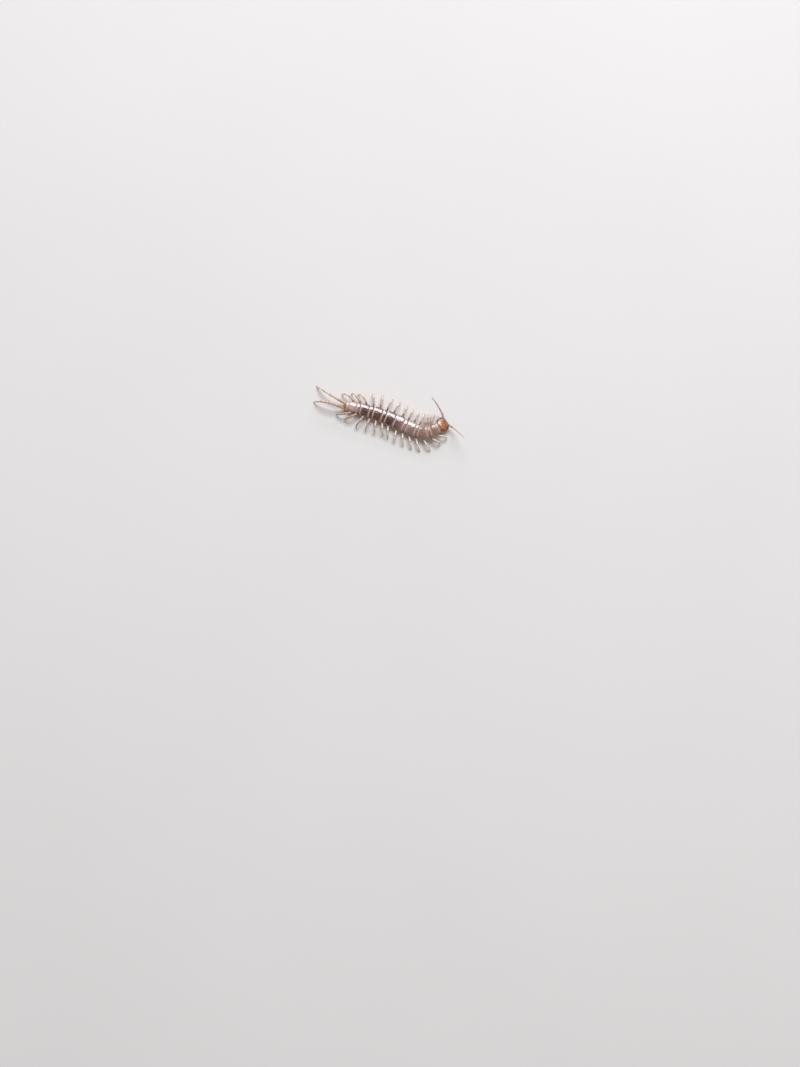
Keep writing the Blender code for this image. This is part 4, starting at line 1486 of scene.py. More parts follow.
@dataclass(frozen=True)
class TrunkSkin:
    """The soft skin of the whole trunk, in one closed tube from inside the head to the tail."""

    rings: int = 700
    half_columns: int = 64
    start: float = -0.35
    past_rear: float = 0.16
    inset: float = 0.15

    @property
    def end(self) -> float:
        """Distance back of its last ring."""
        return SEGMENTS[-1].rear + self.past_rear

    def sizes(self, back: Array) -> tuple[Array, Array, Array]:
        """Sizes of the trunk, eased from one segment to the next.

        Args:
            back: Distances back from the head.

        Returns:
            Half width of the plates, half width of the flanks and height share there.
        """
        stations = np.r_[self.start, 0.1, [s.leg_at for s in SEGMENTS], self.end]
        widths = np.r_[0.80, CLAW_SEGMENT_WIDTH / 2, [s.full_width / 2 for s in SEGMENTS], 0.62]
        heights = np.r_[0.62, 0.93, [s.tall for s in SEGMENTS], 0.60]
        wide = np.interp(back, stations, widths)
        body = wide - BODY_INSET + 0.28 * bell(back - SEGMENTS[-1].rear + 0.02, 0.28)
        return wide, body, np.interp(back, stations, heights)

    def section(self, back: Array) -> tuple[Array, Array]:
        """Half sections of the skin, from the crown to the belly.

        A natural cubic curve runs through the points of the solid's section, drawn in under the plates.

        Args:
            back: Distances back from the head.

        Returns:
            Distances aside and above, one row for each distance back.
        """
        wide, body, tall = self.sizes(back)
        turn = np.radians((0, 22, 45, 66, 84))[:, None]
        arc_aside = (wide - self.inset) * np.sin(turn)
        arc_above = MARGIN * tall + (CROWN * tall - self.inset - MARGIN * tall) * np.cos(turn) ** ARC_POWER
        under = (
            (wide - self.inset - 0.03, MARGIN * tall - 0.10),
            (body + 0.02, -0.12 * tall),
            (body + 0.01, (FLANK_TOP - 0.03) * tall),
            (body - FLANK_SLOPE * 0.5, (FLANK_TOP + FLANK_FOOT) / 2 * tall),
            (body - FLANK_SLOPE, FLANK_FOOT * tall),
            (body - STERNITE_INSET - 0.04, (STERNITE_EDGE + 0.03) * tall),
            ((body - STERNITE_INSET) * 0.5, (BELLY + 0.05) * tall),
            (0 * wide, (BELLY + 0.05) * tall),
        )
        aside = np.concatenate([arc_aside, [point[0] for point in under]])
        above = np.concatenate([arc_above, [point[1] for point in under]])
        count = len(aside)
        at = np.linspace(0, count - 1, self.half_columns)
        basis = natural_cubic(np.arange(count, dtype=float), np.eye(count), at)
        return np.maximum(basis @ aside, 0).T, (basis @ above).T

    def surface(self) -> Surface:
        """The skin, with folds between the segments, collars round the leg roots, stiff patches and pores
        darkened by painted shade.

        Returns:
            The surface.
        """
        back = np.linspace(self.start, self.end, self.rings)
        aside, above = self.section(back)
        aside = np.concatenate([aside, -aside[:, -2:0:-1]], axis=1)
        above = np.concatenate([above, above[:, -2:0:-1]], axis=1)
        station = back[:, None]
        grid = SPINE.place(station, aside, above)
        normal = unit(grid - SPINE.place(station, 0.0, -0.05))
        edges = np.r_[CLAW_SEGMENT_LENGTH, [s.rear for s in SEGMENTS]]
        nearest = np.abs(station - edges).min(-1, keepdims=True)
        flank = smooth((0.10 - above) / 0.25)
        fold = bell(nearest, 0.2) * (0.5 + 0.5 * np.sin(station * 2 * math.pi / 0.085)) * flank
        lift = 0.012 * fold - 0.07 * bell(nearest, 0.11) * flank
        stiff = np.zeros_like(aside)
        hole = np.zeros_like(aside)
        for segment in SEGMENTS[:-1]:
            along = (station - segment.leg_at) / (segment.coxa_radius + 0.06)
            over = (above - segment.leg_height) / (0.27 * segment.tall)
            ring = np.hypot(along, over)
            angle = np.degrees(np.arctan2(over, along))
            lift += 0.05 * bell(ring - 1.0, 0.20) + 0.02 * smooth(1.2 - ring)
            lift += 0.010 * np.sin((ring - 1.0) * 2 * math.pi / 0.22) * bell(ring - 1.45, 0.35)
            arcs = smooth((angle - 15) / 12) * smooth((80 - angle) / 10)
            arcs += smooth((angle - 98) / 10) * smooth((165 - angle) / 12)
            stiff = np.maximum(stiff, bell(ring - 1.42, 0.13) * arcs)
            if segment.long and segment.number > 1:
                high = above - segment.leg_height - 0.40 * segment.tall
                pore = np.hypot(station - segment.leg_at - 0.18, high * 1.3)
                # Painted shade in each breathing pore, which is only a dent.
                hole = np.maximum(hole, bell(pore, 0.05))
                stiff = np.maximum(stiff, bell(pore - 0.10, 0.05))
                lift += 0.02 * bell(pore - 0.10, 0.04) - 0.03 * bell(pore, 0.05)
        lift += 0.022 * stiff + 0.010 * ripple(grid, 0.45, 5) * flank
        return Surface().tube(grid + normal * lift[..., None], stiff=stiff, fold=fold, hole=hole)


@dataclass(frozen=True)
class TailEnd:
    """The tail end: a rounded stalk and the small plate over it."""

    finishes: Finishes
    tucked: float = 0.05
    half_width: float = 0.40
    half_height: float = 0.36
    height: float = -0.08
    roundness: float = 2.6
    plate_length: float = 0.72
    plate_half_width: float = 0.47
    plate_roundness: float = 3.2

    def stalk(self) -> Surface:
        """The stalk, whose rings shrink along a superellipse to the tip.

        Returns:
            The surface.
        """
        start = SEGMENTS[-1].rear - self.tucked
        share = np.linspace(0, 1, 26)[:-1, None]
        size = np.sqrt(1 - share**self.roundness)
        turn = circle(36)
        aside = self.half_width * size * np.cos(turn)
        above = self.height + self.half_height * size * np.sin(turn)
        rings = SPINE.place(start + (TAIL_LENGTH + self.tucked) * share, aside, above)
        tip = SPINE.place(start + TAIL_LENGTH + self.tucked, 0.0, self.height)
        return Surface().tube(rings, tip, stiff=0.45, fold=0.0, hole=0.0)

    def plate(self) -> Surface:
        """The plate, a rounded oval that bends down at its sides and its rear.

        Returns:
            The surface.
        """
        share, across = plate_shares(24, 37)
        half = self.plate_half_width
        half = half * (1 - np.abs(2 * share - 1) ** self.plate_roundness) ** (1 / self.plate_roundness)
        back = SEGMENTS[-1].rear - 2 * self.tucked + self.plate_length * share
        aside = half * across
        above = 0.31 - 0.16 * across**2 - 0.10 * share**2
        middle = SPINE.place(back, aside, above)
        outward = SPINE.place(back, aside, above + 1.0) - middle
        ends = np.minimum(share, 1 - share) * self.plate_length
        edge = np.minimum(ends, half * (1 - np.abs(across)))
        sheet = PlateSheet(thickness=0.07, bead_height=0.014, groove_depth=0.008)
        return Surface().add(sheet.shell(middle, outward, edge, sheet.rim(edge)), edge=both_faces(edge))

    def build(self) -> None:
        """Makes both pieces."""
        self.stalk().piece("tail_stalk", self.finishes.skin, Slot.TRUNK, ("tail_end",))
        self.plate().piece("tail_plate", self.finishes.belly, Slot.TRUNK, ("tail_end",))


@dataclass(frozen=True)
class Trunk:
    """The trunk: one skin, sixteen back plates, fifteen belly plates and the tail end."""

    finishes: Finishes

    def build(self, coat: Coat) -> None:
        """Makes every piece of the trunk.

        Args:
            coat: The hairs to add to.
        """
        nodes = tuple(s.node for s in SEGMENTS)
        skin = TrunkSkin().surface()
        skin.piece("trunk_skin", self.finishes.skin, Slot.TRUNK, (*nodes, "claw_segment", "tail_end"))
        NeckPlate().surface().piece("back_plate_neck", self.finishes.shell, Slot.TRUNK, ("claw_segment",))
        before = 0.0
        belly = Surface()
        for segment in SEGMENTS:
            plate = BackPlate(segment, before)
            made = plate.surface()
            made.piece(f"back_plate_{segment.number:02d}", self.finishes.shell, Slot.TRUNK, (segment.node,))
            plate.hairs(made, coat)
            under = BellyPlate(segment)
            grid, edge = under.grid()
            belly.add(grid, edge=edge)
            outer = grid[:, : under.columns]
            normal = normals_of(outer, np.broadcast_to(-UP, outer.shape))
            span = ((segment.number - 1) / len(SEGMENTS), segment.number / len(SEGMENTS), 0.52, 0.98)
            coat.sow(outer, normal, 40, 600 + segment.number, 0.12, 1.4, span)
            before = segment.corner
        belly.piece("belly_plates", self.finishes.belly, Slot.TRUNK, nodes)
        TailEnd(self.finishes).build()


@dataclass(frozen=True)
class HeadShield:
    """The flat round head shield with its raised rim, its cross line and its feeler sockets."""

    columns: int = 168
    edge_softness: float = 0.045
    socket_sides: int = 28

    def surface(self) -> Surface:
        """The shield.

        Its rings are shares of a superellipse, at the heights of the head's profile. Behind, they run softly
        into a plane across the neck. Grooves and rims are bells of the distance from their lines.

        Returns:
            The surface.
        """
        at = np.r_[np.linspace(0, 0.42, 46)[:-1], np.linspace(0.42, 0.66, 52)[:-1], np.linspace(0.66, 1, 24)]
        share, height = through(np.array(HEAD_PROFILE) * (1.5, 1.0), at).T[..., None]
        share = np.clip(share / 1.5, 0, None)
        bearing = circle(self.columns)[None]
        forward, aside = head_outline(bearing, share)
        forward = forward - 0.09 * bell(np.sin(bearing), 0.16) * (np.cos(bearing) > 0) * share**6
        pitch = math.radians(HEAD_PITCH)
        rear = (HEAD_REAR - height * math.sin(pitch)) / math.cos(pitch)
        depth = forward - rear
        forward = rear + (depth + np.sqrt(depth**2 + self.edge_softness**2)) / 2 - self.edge_softness / 4
        grid = on_head(forward, aside, height)
        normal = normals_of(grid, grid - on_head(HEAD_LENGTH / 2, 0.0, 0.15))
        beside = np.abs(aside)
        behind = forward - rear
        cross_line = 2.02 - 0.20 * (aside / 1.2) ** 2
        relief = -0.026 * bell(forward - cross_line, 0.035) * smooth((1.2 - beside) / 0.2)
        relief -= 0.016 * bell(aside, 0.03) * smooth((forward - 2.1) / 0.2)
        relief += 0.022 * bell(behind - 0.09, 0.034) - 0.018 * bell(behind - 0.165, 0.030)
        rim = 0.022 * bell(share - 0.972, 0.016) - 0.018 * bell(share - 0.935, 0.013)
        relief += rim * smooth((2.0 - forward) / 0.3)
        relief -= 0.014 * bell(beside - 0.62, 0.14) * bell(forward - 0.55, 0.35)
        relief += 0.008 * ripple(grid, 0.8, 21)
        face = 0.016 * bell(height - 0.12, 0.09) - 0.020 * bell(height - 0.26 - 0.35 * aside**2, 0.030)
        relief += face * smooth((forward - 2.15) / 0.15) * smooth((0.62 - beside) / 0.1)
        eye = np.zeros_like(aside)
        for side in Side:
            centre, along, over, _ = eye_axes(side)
            offset = grid - centre
            oval = np.hypot(offset @ along / 0.36, offset @ over / 0.22)
            relief += 0.014 * bell(oval - 1.05, 0.14) * (oval < 2)
            eye = np.maximum(eye, smooth(1.3 - oval))
            far = np.linalg.norm(grid - antenna_root(side)[0], axis=-1)
            relief += 0.030 * bell(far - 0.40, 0.07) - 0.020 * bell(far - 0.56, 0.05)
        grid = grid + normal * (relief * smooth((height - 0.02) / 0.1))[..., None]
        grid[0] = grid[0].mean(0)
        grid[-1] = grid[-1].mean(0)
        outer = (1 - np.minimum(share, 1)) * 1.4 + np.maximum(0.2 - height, 0)
        edge = np.maximum(np.minimum(np.abs(behind) * 0.8, outer), 0.0)
        made = Surface().add(grid, along=forward / HEAD_LENGTH, edge=edge, eye=eye)
        for side in Side:
            self.socket(made, side)
        return made

    def hairs(self, made: Surface, coat: Coat) -> None:
        """Adds fine hairs over the shield, from the crown to just past its edge.

        Args:
            made: The shield's surface.
            coat: The hairs to add to.
        """
        outer = made.points[0].reshape(-1, self.columns, 3)[3:96]
        normal = normals_of(outer, outer - on_head(HEAD_LENGTH / 2, 0.0, -0.2))
        coat.sow(outer, normal, 210, 700, 0.13, 1.0, (0.02, 0.98, 0.02, 0.98))

    def socket(self, made: Surface, side: Side) -> None:
        """Adds the short tube that a feeler grows from, with a rolled lip.

        Args:
            made: The shield's surface.
            side: The feeler's side.
        """
        root, way = antenna_root(side)
        along, radius = np.array(SOCKET_PROFILE).T
        tube = Tube.along(root + way * along[:, None], way, unit(np.cross(UP, way)), radius, radius)
        shade = np.linspace(0.75, 0.95, len(along) + 2)[:, None]
        made.add(closed_ends(tube.rings(self.socket_sides)), along=shade, edge=0.2, eye=0.0)


def antenna_directions(side: Side, count: int) -> Array:
    """Directions along a feeler, from its turns and climbs at a few stations.

    Args:
        side: The feeler's side.
        count: How many even steps.

    Returns:
        One unit vector for each.
    """
    share = np.linspace(0, 1, count)
    yaw = np.radians(np.interp(share, ANTENNA_STATIONS, ANTENNA_YAW[side.value])) * side.sign
    climb = np.radians(np.interp(share, ANTENNA_STATIONS, ANTENNA_CLIMB[side.value]))[:, None]
    level = unit(head_axes()[1] * (1, 1, 0))
    return np.cos(climb) * spokes(yaw, level, np.cross(UP, level)) + np.sin(climb) * UP


def antenna_root(side: Side) -> tuple[Array, Array]:
    """The middle of a feeler's socket and the direction that it points in."""
    return on_head(SOCKET_FORWARD, side.sign * SOCKET_ASIDE, SOCKET_HEIGHT), antenna_directions(side, 2)[0]


def eye_axes(side: Side) -> tuple[Array, Array, Array, Array]:
    """The frame of an eye.

    Args:
        side: The eye's side.

    Returns:
        Its centre and three axes: along the head's edge, outwards over the head, and the way it faces.
    """
    bearing = math.radians(EYE_BEARING)
    forward, aside = head_outline(bearing, EYE_SHARE)
    _, ahead, left, up = head_axes()
    out = unit(math.cos(bearing) * ahead + side.sign * math.sin(bearing) * left)
    along = np.cross(up, out)
    tilt = math.radians(EYE_TILT)
    facing = math.cos(tilt) * up + math.sin(tilt) * out
    return on_head(forward, side.sign * aside, EYE_HEIGHT), along, np.cross(facing, along), facing


@dataclass(frozen=True)
class Eye:
    """One eye: rows of small lenses on a low oval, with one larger lens behind them."""

    side: Side
    oval: tuple[float, float, float] = (0.33, 0.18, 0.10)
    pitch: float = 0.084
    lens: float = 0.043
    ocellus: float = 1.5

    def balls(self, centres: Array, radii: tuple[float, float, float], rows: int, columns: int) -> Array:
        """Closed grids of ellipsoids along the eye's axes.

        Args:
            centres: One centre, or a row for each.
            radii: The three radii.
            rows: Rows of each grid, from pole to pole.
            columns: Points round it.

        Returns:
            One grid for each centre.
        """
        _, along, over, facing = eye_axes(self.side)
        latitude = np.linspace(-math.pi / 2, math.pi / 2, rows)[:, None, None]
        flat = spokes(circle(columns), along, over, radii[0], radii[1])
        return centres[..., None, None, :] + np.cos(latitude) * flat + radii[2] * np.sin(latitude) * facing

    def surface(self) -> Surface:
        """The eye: the oval ground, then lenses on the points of a six-sided net that lie within it.

        Returns:
            The surface.
        """
        centre, along, over, facing = eye_axes(self.side)
        made = Surface().add(self.balls(centre, self.oval, 16, 32), lens=0.0)
        rows = np.arange(-3, 4)[:, None]
        x = (np.arange(-5, 6) + 0.5 * (rows % 2)) * self.pitch
        y = rows * self.pitch * 0.87 + 0 * x
        inside = np.hypot(x / (self.oval[0] * 0.88), y / (self.oval[1] * 0.86)) < 1
        x, y = x[inside, None], y[inside, None]
        z = self.oval[2] * np.sqrt(1 - (x / self.oval[0]) ** 2 - (y / self.oval[1]) ** 2)
        places = centre + x * along + y * over + z * facing
        made.add(self.balls(places, (self.lens,) * 3, 8, 12), lens=1.0)
        rearmost = places[np.argmin(places @ head_axes()[1])]
        return made.add(self.balls(rearmost, (self.lens * self.ocellus,) * 3, 10, 16), lens=1.0)


@dataclass(frozen=True)
class Antenna:
    """One feeler: a tapering row of bead-like articles, closely haired."""

    side: Side
    articles: int = 38
    sides: int = 18
    tucked: float = 0.38
    hairs: int = 42
    first_sizes: tuple[float, float] = (1.12, 0.88)
    long_roots: float = 1.35
    long_tip: float = 1.5

    def course(self) -> tuple[Tube, Array]:
        """The feeler's rings.

        Each article's radius swells and narrows by a table of shares; the whole tapers by a power of the
        share of the length.

        Returns:
            The tube, and the share of the length of each ring.
        """
        root, way = antenna_root(self.side)
        fine = antenna_directions(self.side, ANTENNA_SAMPLES + 1)
        line = root + way * (SOCKET_LENGTH + GAP) + summed(fine, ANTENNA_LENGTH / ANTENNA_SAMPLES)
        line = np.concatenate([[line[0] - way * self.tucked], line])
        fine = np.concatenate([[way], fine])
        length = np.r_[-self.tucked, np.linspace(0, ANTENNA_LENGTH, ANTENNA_SAMPLES + 1)]
        sizes = np.linspace(*self.first_sizes, self.articles)
        sizes[:2] *= self.long_roots
        sizes[-1] *= self.long_tip
        ends = np.r_[0, np.cumsum(sizes)] / sizes.sum()
        inner, swell, _ = np.array(ANTENNA_BEAD).T
        at = (ends[:-1, None] + np.diff(ends)[:, None] * inner).ravel()
        back = at * (ANTENNA_LENGTH + self.tucked) - self.tucked
        ways = unit(read_rows(back, length, fine))
        share = np.clip(back / ANTENNA_LENGTH, 0, 1)
        radius = ANTENNA_ROOT + (ANTENNA_TIP - ANTENNA_ROOT) * share**ANTENNA_TAPER
        radius *= np.tile(swell, self.articles)
        radius[-3:] *= (0.9, 0.72, 0.45)
        path = read_rows(back, length, line)
        return Tube.along(path, ways, unit(np.cross(UP, ways)), radius, radius), share

    def build(self, finishes: Finishes, coat: Coat) -> None:
        """Makes the feeler.

        Args:
            finishes: The materials.
            coat: The hairs to add to.
        """
        tube, share = self.course()
        neck = np.tile(np.array(ANTENNA_BEAD)[:, 2], self.articles)
        made = Surface().tube(tube.rings(self.sides), along=share, rim=neck)
        made.piece(
            f"feeler_{self.side.value}", finishes.antenna, Slot.ANTENNA, (f"antenna_{self.side.value}",)
        )
        draw = np.random.default_rng(300 + self.side.sign)
        count = self.hairs * self.articles
        place = draw.uniform(0.03, 0.995, count)
        ring = tube.at(place * (len(share) - 1))
        turn = draw.uniform(0, 2 * math.pi, count)
        outward = spokes(turn, ring.across, ring.over)
        root = ring.path + outward * (ring.wide * 0.96)[:, None]
        lean = draw.uniform(0.45, 0.75, count)[:, None]
        way = unit(ring.ways * (1 - lean * 0.4) + outward * lean)
        lengths = draw.uniform(0.12, 0.20, count) * (1.15 - 0.45 * place)
        column = 0.05 if self.side is Side.LEFT else 0.55
        unwrap = np.stack([0.02 + 0.96 * place, column + turn / 2 / math.pi * 0.4], 1)
        coat.add(root, way, lengths, 0.0085, -outward * 0.25, unwrap)


@dataclass(frozen=True)
class PoisonClaw:
    """One poison claw: a thick root that curls inwards through two narrow rings to a dark, sharp fang."""

    side: Side
    count: int = 110
    sides: int = 26
    flatness: tuple[float, float] = (0.62, 0.80)

    def surface(self) -> Surface:
        """The claw: an oval tube along a curl whose heading turns by a power of the share of its length.

        Returns:
            The surface.
        """
        sign = self.side.sign
        (rear_x, rear_y), (front_x, front_y) = PLATE_STATIONS[1:3]
        outward = math.atan2(front_x - rear_x, rear_y - front_y)
        share = np.linspace(0, 1, self.count)
        heading = outward - math.radians(CLAW_TURN) * share**CLAW_CURL
        ways = np.stack([np.cos(heading), np.sin(heading)], 1)
        path = summed(ways, CLAW_LENGTH / (self.count - 1)) + np.array(CLAW_FACET) + GAP * ways[0]
        path = np.concatenate([[path[0] - ways[0] * 0.30], path])
        ways = np.concatenate([ways[:1], ways])
        share = np.r_[-0.1, share]
        table = np.array(CLAW_PROFILE)
        radius = natural_cubic(table[:, 0], table[:, 1:], np.clip(share, 0, 1))[:, 0]
        radius[0] *= 0.92
        for joint, depth in CLAW_JOINTS:
            radius -= depth * (bell(share - joint, 0.012) - 0.35 * bell(share - joint + 0.026, 0.014))
        flat = self.flatness[0] + (self.flatness[1] - self.flatness[0]) * smooth((share - 0.55) / 0.3)
        _, ahead, left, up = head_axes()
        droop = -0.05 * smooth((share - 0.5) / 0.5)
        centre = on_head(path[:, 0], sign * path[:, 1], CLAW_HEIGHT + droop)
        direction = ways[:, :1] * ahead + sign * ways[:, 1:] * left
        tube = Tube.along(centre, direction, np.cross(up, direction), radius, radius * flat)
        tip = np.clip((share - 0.45) / 0.5, 0, 1)
        return Surface().tube(tube.rings(self.sides), centre[-1] + direction[-1] * 0.02, tip=tip)


@dataclass(frozen=True)
class ClawPlate:
    """The plate under the head that carries the poison claws, with a toothed front edge."""

    rows: int = 60
    columns: int = 64
    teeth: int = 5
    squareness: float = 0.55

    def surface(self) -> Surface:
        """The plate: rings of a rounded box, as wide as the solid's plate at each distance forward.

        Returns:
            The surface.
        """
        stations = np.array(PLATE_STATIONS)
        forward = np.r_[-0.30, np.linspace(-0.1, 1.22, self.rows), 1.255, 1.275]
        half = np.interp(forward, stations[:, 0], stations[:, 1])
        half = np.convolve(np.pad(half, 2, mode="edge"), np.ones(5) / 5, mode="valid")
        half[-2:] *= (0.95, 0.84)
        half[:2] *= 0.9
        tall = np.r_[np.full(len(forward) - 2, 1.0), 0.88, 0.6][:, None]
        turn = circle(self.columns)
        box_x, box_z = (np.sign(v) * np.abs(v) ** self.squareness for v in (np.cos(turn), np.sin(turn)))
        aside = half[:, None] * box_x
        above = (PLATE_TOP + STERNITE_EDGE) / 2 + (PLATE_TOP - STERNITE_EDGE) / 2 * tall * box_z
        under = smooth((-box_z - 0.3) / 0.5)
        above = above + (0.035 * bell(aside, 0.045) - 0.02 * bell(np.abs(aside) - 0.45, 0.3)) * under
        rings = on_head(forward[:, None], aside, above)
        return Surface().tube(rings, edge=np.clip(1.28 - forward, 0, 1))

    def front_teeth(self) -> Surface:
        """Blunt dark teeth along the front edge, in two rows from the middle outwards.

        Returns:
            The surface.
        """
        sides = np.repeat((-1.0, 1.0), self.teeth)
        place = np.tile(np.linspace(0.07, 0.40, self.teeth), 2)
        roots = on_head(1.255 - 0.10 * place**2, sides * place, -0.46)
        _, ahead, left, up = head_axes()
        ways = unit(ahead + 0.12 * (sides * place)[:, None] * left - 0.15 * up)
        return Surface().spines(roots, ways, 0.13, 0.042)


@dataclass(frozen=True)
class Mouth:
    """The mouth feelers and the lip between them, tucked in under the head's front edge."""

    count: int = 40
    sides: int = 18
    hairs: int = 46
    root_radius: float = 0.135
    tip_radius: float = 0.080

    def feeler(self, side: Side) -> Tube:
        """One mouth feeler: a small tube that curls inwards.

        Args:
            side: Its side.

        Returns:
            The tube. Its half heights aren't flattened yet.
        """
        share = np.linspace(0, 1, self.count)
        line = through(np.array(MOUTH_POINTS), share)
        centre = on_head(line[:, 0], side.sign * line[:, 1], line[:, 2])
        way = unit(np.gradient(centre, axis=0))
        radius = self.root_radius + (self.tip_radius - self.root_radius) * share
        for joint in MOUTH_JOINTS:
            radius += 0.010 * bell(share - joint + 0.05, 0.02) - 0.022 * bell(share - joint, 0.02)
        radius[-2:] *= (0.8, 0.45)
        return Tube.along(centre, way, unit(np.cross(head_axes()[3], way)), radius, radius)

    def lip(self) -> Surface:
        """The lip, a flat oval bar across the mouth with a notch in its middle.

        Returns:
            The surface.
        """
        across = np.linspace(-1, 1, 31)
        centre = on_head(2.42 - 0.16 * across**2, 0.52 * across, -0.15)
        _, ahead, left, _ = head_axes()
        radius = 0.12 * np.sqrt(np.maximum(1 - across**4, 0.02)) + 0.02 - 0.05 * bell(across, 0.08)
        tube = Tube.along(centre, -left, ahead, radius, radius * 0.9)
        return Surface().tube(tube.rings(16), along=0.95, edge=0.2, eye=0.0)

    def build(self, finishes: Finishes, coat: Coat) -> None:
        """Makes both pieces.

        Args:
            finishes: The materials.
            coat: The hairs to add to.
        """
        made = Surface()
        along = 0.6 + 0.4 * np.linspace(0, 1, self.count)
        for side in Side:
            tube = self.feeler(side)
            rings = replace(tube, high=tube.high * 0.85).rings(self.sides)
            made.tube(rings, along=along, rim=0.0, soft=0.0, grade=0.0, warmth=0.8)
            draw = np.random.default_rng(900 + side.sign)
            spot = draw.uniform(22, self.count - 1.5, self.hairs)
            turn = draw.uniform(0, 2 * math.pi, self.hairs)
            ring = tube.at(spot)
            outward = spokes(turn, ring.across, ring.over)
            root = ring.path + outward * ring.wide[:, None] * 0.9
            lengths = draw.uniform(0.10, 0.17, self.hairs)
            column = np.full(self.hairs, 0.5 + 0.02 * side.sign)
            unwrap = np.stack([0.02 + 0.9 * spot / (self.count - 1), column], 1)
            coat.add(root, unit(ring.ways * 0.8 + outward * 0.6), lengths, 0.008, 0 * outward, unwrap)
        made.piece("mouth_feelers", finishes.leg, Slot.LEG)
        self.lip().piece("mouth_lip", finishes.head, Slot.HEAD)


@dataclass(frozen=True)
class Head:
    """The head: shield, eyes, feelers, mouth feelers, claw plate and poison claws."""

    finishes: Finishes

    def build(self, coat: Coat, head_coat: Coat) -> None:
        """Makes every piece of the head.

        Args:
            coat: The hairs of the feelers and the mouth.
            head_coat: The hairs of the shield.
        """
        finishes = self.finishes
        shield = HeadShield().surface()
        shield.piece("head_shield", finishes.head, Slot.HEAD, ("head",))
        HeadShield().hairs(shield, head_coat)
        for side in Side:
            name = side.value
            Eye(side).surface().piece(f"eye_lenses_{name}", finishes.eye, Slot.EYE, (f"eye_{name}",))
            Antenna(side).build(finishes, coat)
            claw = PoisonClaw(side).surface()
            claw.piece(f"fang_{name}", finishes.claw, Slot.CLAW, (f"poison_claw_{name}",))
        ClawPlate().surface().piece("claw_plate", finishes.belly, Slot.TRUNK, ("claw_segment",))
        ClawPlate().front_teeth().piece("claw_plate_teeth", finishes.claw, Slot.CLAW)
        Mouth().build(finishes, coat)


@dataclass(frozen=True)
class LegCourse:
    """The line of one leg: where it leaves the flank and the joints down to its foot."""

    root: Array
    way: Array
    forward: Array
    joints: Array
    steps: Array
    yaws: Array
    tucked: float = 0.8
    grain: float = 0.01
    window: float = 0.20
    knee_window: float = 0.30

    @property
    def starts(self) -> Array:
        """Distance of each joint from the flank, along the leg."""
        return COXA_LENGTH + lengths_along(self.joints)

    def rounded(self, at: Array) -> tuple[Array, Array]:
        """Points and directions of the line with its corners rounded.

        A point is the mean of the straight-sided line over a window of its length, which is a difference of
        that line's running sum. The window is wider at the first joint, by a bell.

        Args:
            at: Distances from the flank along the leg.

        Returns:
            The points and the unit directions there.
        """
        start = self.root - self.way * self.tucked
        ends = np.concatenate([[start], self.joints, self.joints[-1:] + self.steps[-1:]])
        marks = np.r_[-self.tucked, self.starts, self.starts[-1] + 1.0]
        fine = np.arange(marks[0], marks[-1], self.grain)
        total = summed(read_rows(fine, marks, ends), self.grain)

        def mean(spot: Array) -> Array:
            """The mean of the line over a window round each distance.

            Args:
                spot: The distances.

            Returns:
                The points.
            """
            half = (self.window + self.knee_window * bell(spot - COXA_LENGTH, 0.3)) / 2
            run = read_rows(spot + half, fine, total) - read_rows(spot - half, fine, total)
            return run / (2 * half[:, None])

        return mean(at), unit(mean(at + self.grain) - mean(at - self.grain))


def leg_course(
    root: Array, way: Array, forward: Array, heading: float, bow: float, length: float, reach: float,
    limits: tuple[float, float],
) -> LegCourse:
    """Joint points of a leg whose foot is on the floor at the stated reach, as the solids have it.

    The five free articles share one bend. Its size and the climb of the first of them are found by halving,
    so that the foot is at height zero and at the reach.

    Args:
        root: Where the first article leaves the flank.
        way: The direction of that article.
        forward: The direction along the body there.
        heading: The bearing of the foot.
        bow: How far the leg turns between its root and its foot.
        length: Length of the five free articles.
        reach: Distance of the foot from the knee, seen from above.
        limits: Least and most bend.

    Returns:
        The course.
    """
    knee = root + way * COXA_LENGTH
    lengths = np.array(ARTICLE_SHARES) * length
    yaw = heading + bow * np.linspace(-0.5, 0.5, len(lengths))
    rise = np.array(ARTICLE_RISE)

    def climb_for(bend: float) -> float:
        """The first article's climb with which the foot is on the floor.

        Args:
            bend: The bend that the articles share.

        Returns:
            The climb.
        """
        low, high = -STEEPEST_CLIMB, STEEPEST_CLIMB
        for _ in range(HALVINGS):
            climb = (low + high) / 2
            if (lengths * np.sin(climb + bend * rise)).sum() + knee[2] > 0:
                high = climb
            else:
                low = climb
        return climb

    few, many = limits
    for _ in range(HALVINGS):
        bend = (few + many) / 2
        if (lengths * np.cos(climb_for(bend) + bend * rise)).sum() > reach:
            few = bend
        else:
            many = bend
    angles = climb_for(bend) + bend * rise
    run = np.cos(angles)
    steps = np.stack([run * np.cos(yaw), run * np.sin(yaw), np.sin(angles)], 1)
    joints = knee + np.r_[np.zeros((1, 3)), np.cumsum(steps * lengths[:, None], axis=0)]
    return LegCourse(root, way, forward, joints, steps, yaw)


@dataclass(frozen=True)
class LegRings:
    """The rings of a leg, one value for each: distance from the flank, half widths and shades."""

    at: Array
    wide: Array
    high: Array
    rim: Array
    soft: Array
    grade: Array


@dataclass(frozen=True)
class LegMeshes:
    """The meshes of one side that hold what all its legs carry."""

    claws: Surface = field(default_factory=Surface)
    spurs: Surface = field(default_factory=Surface)
    coat: Coat = field(default_factory=Coat)


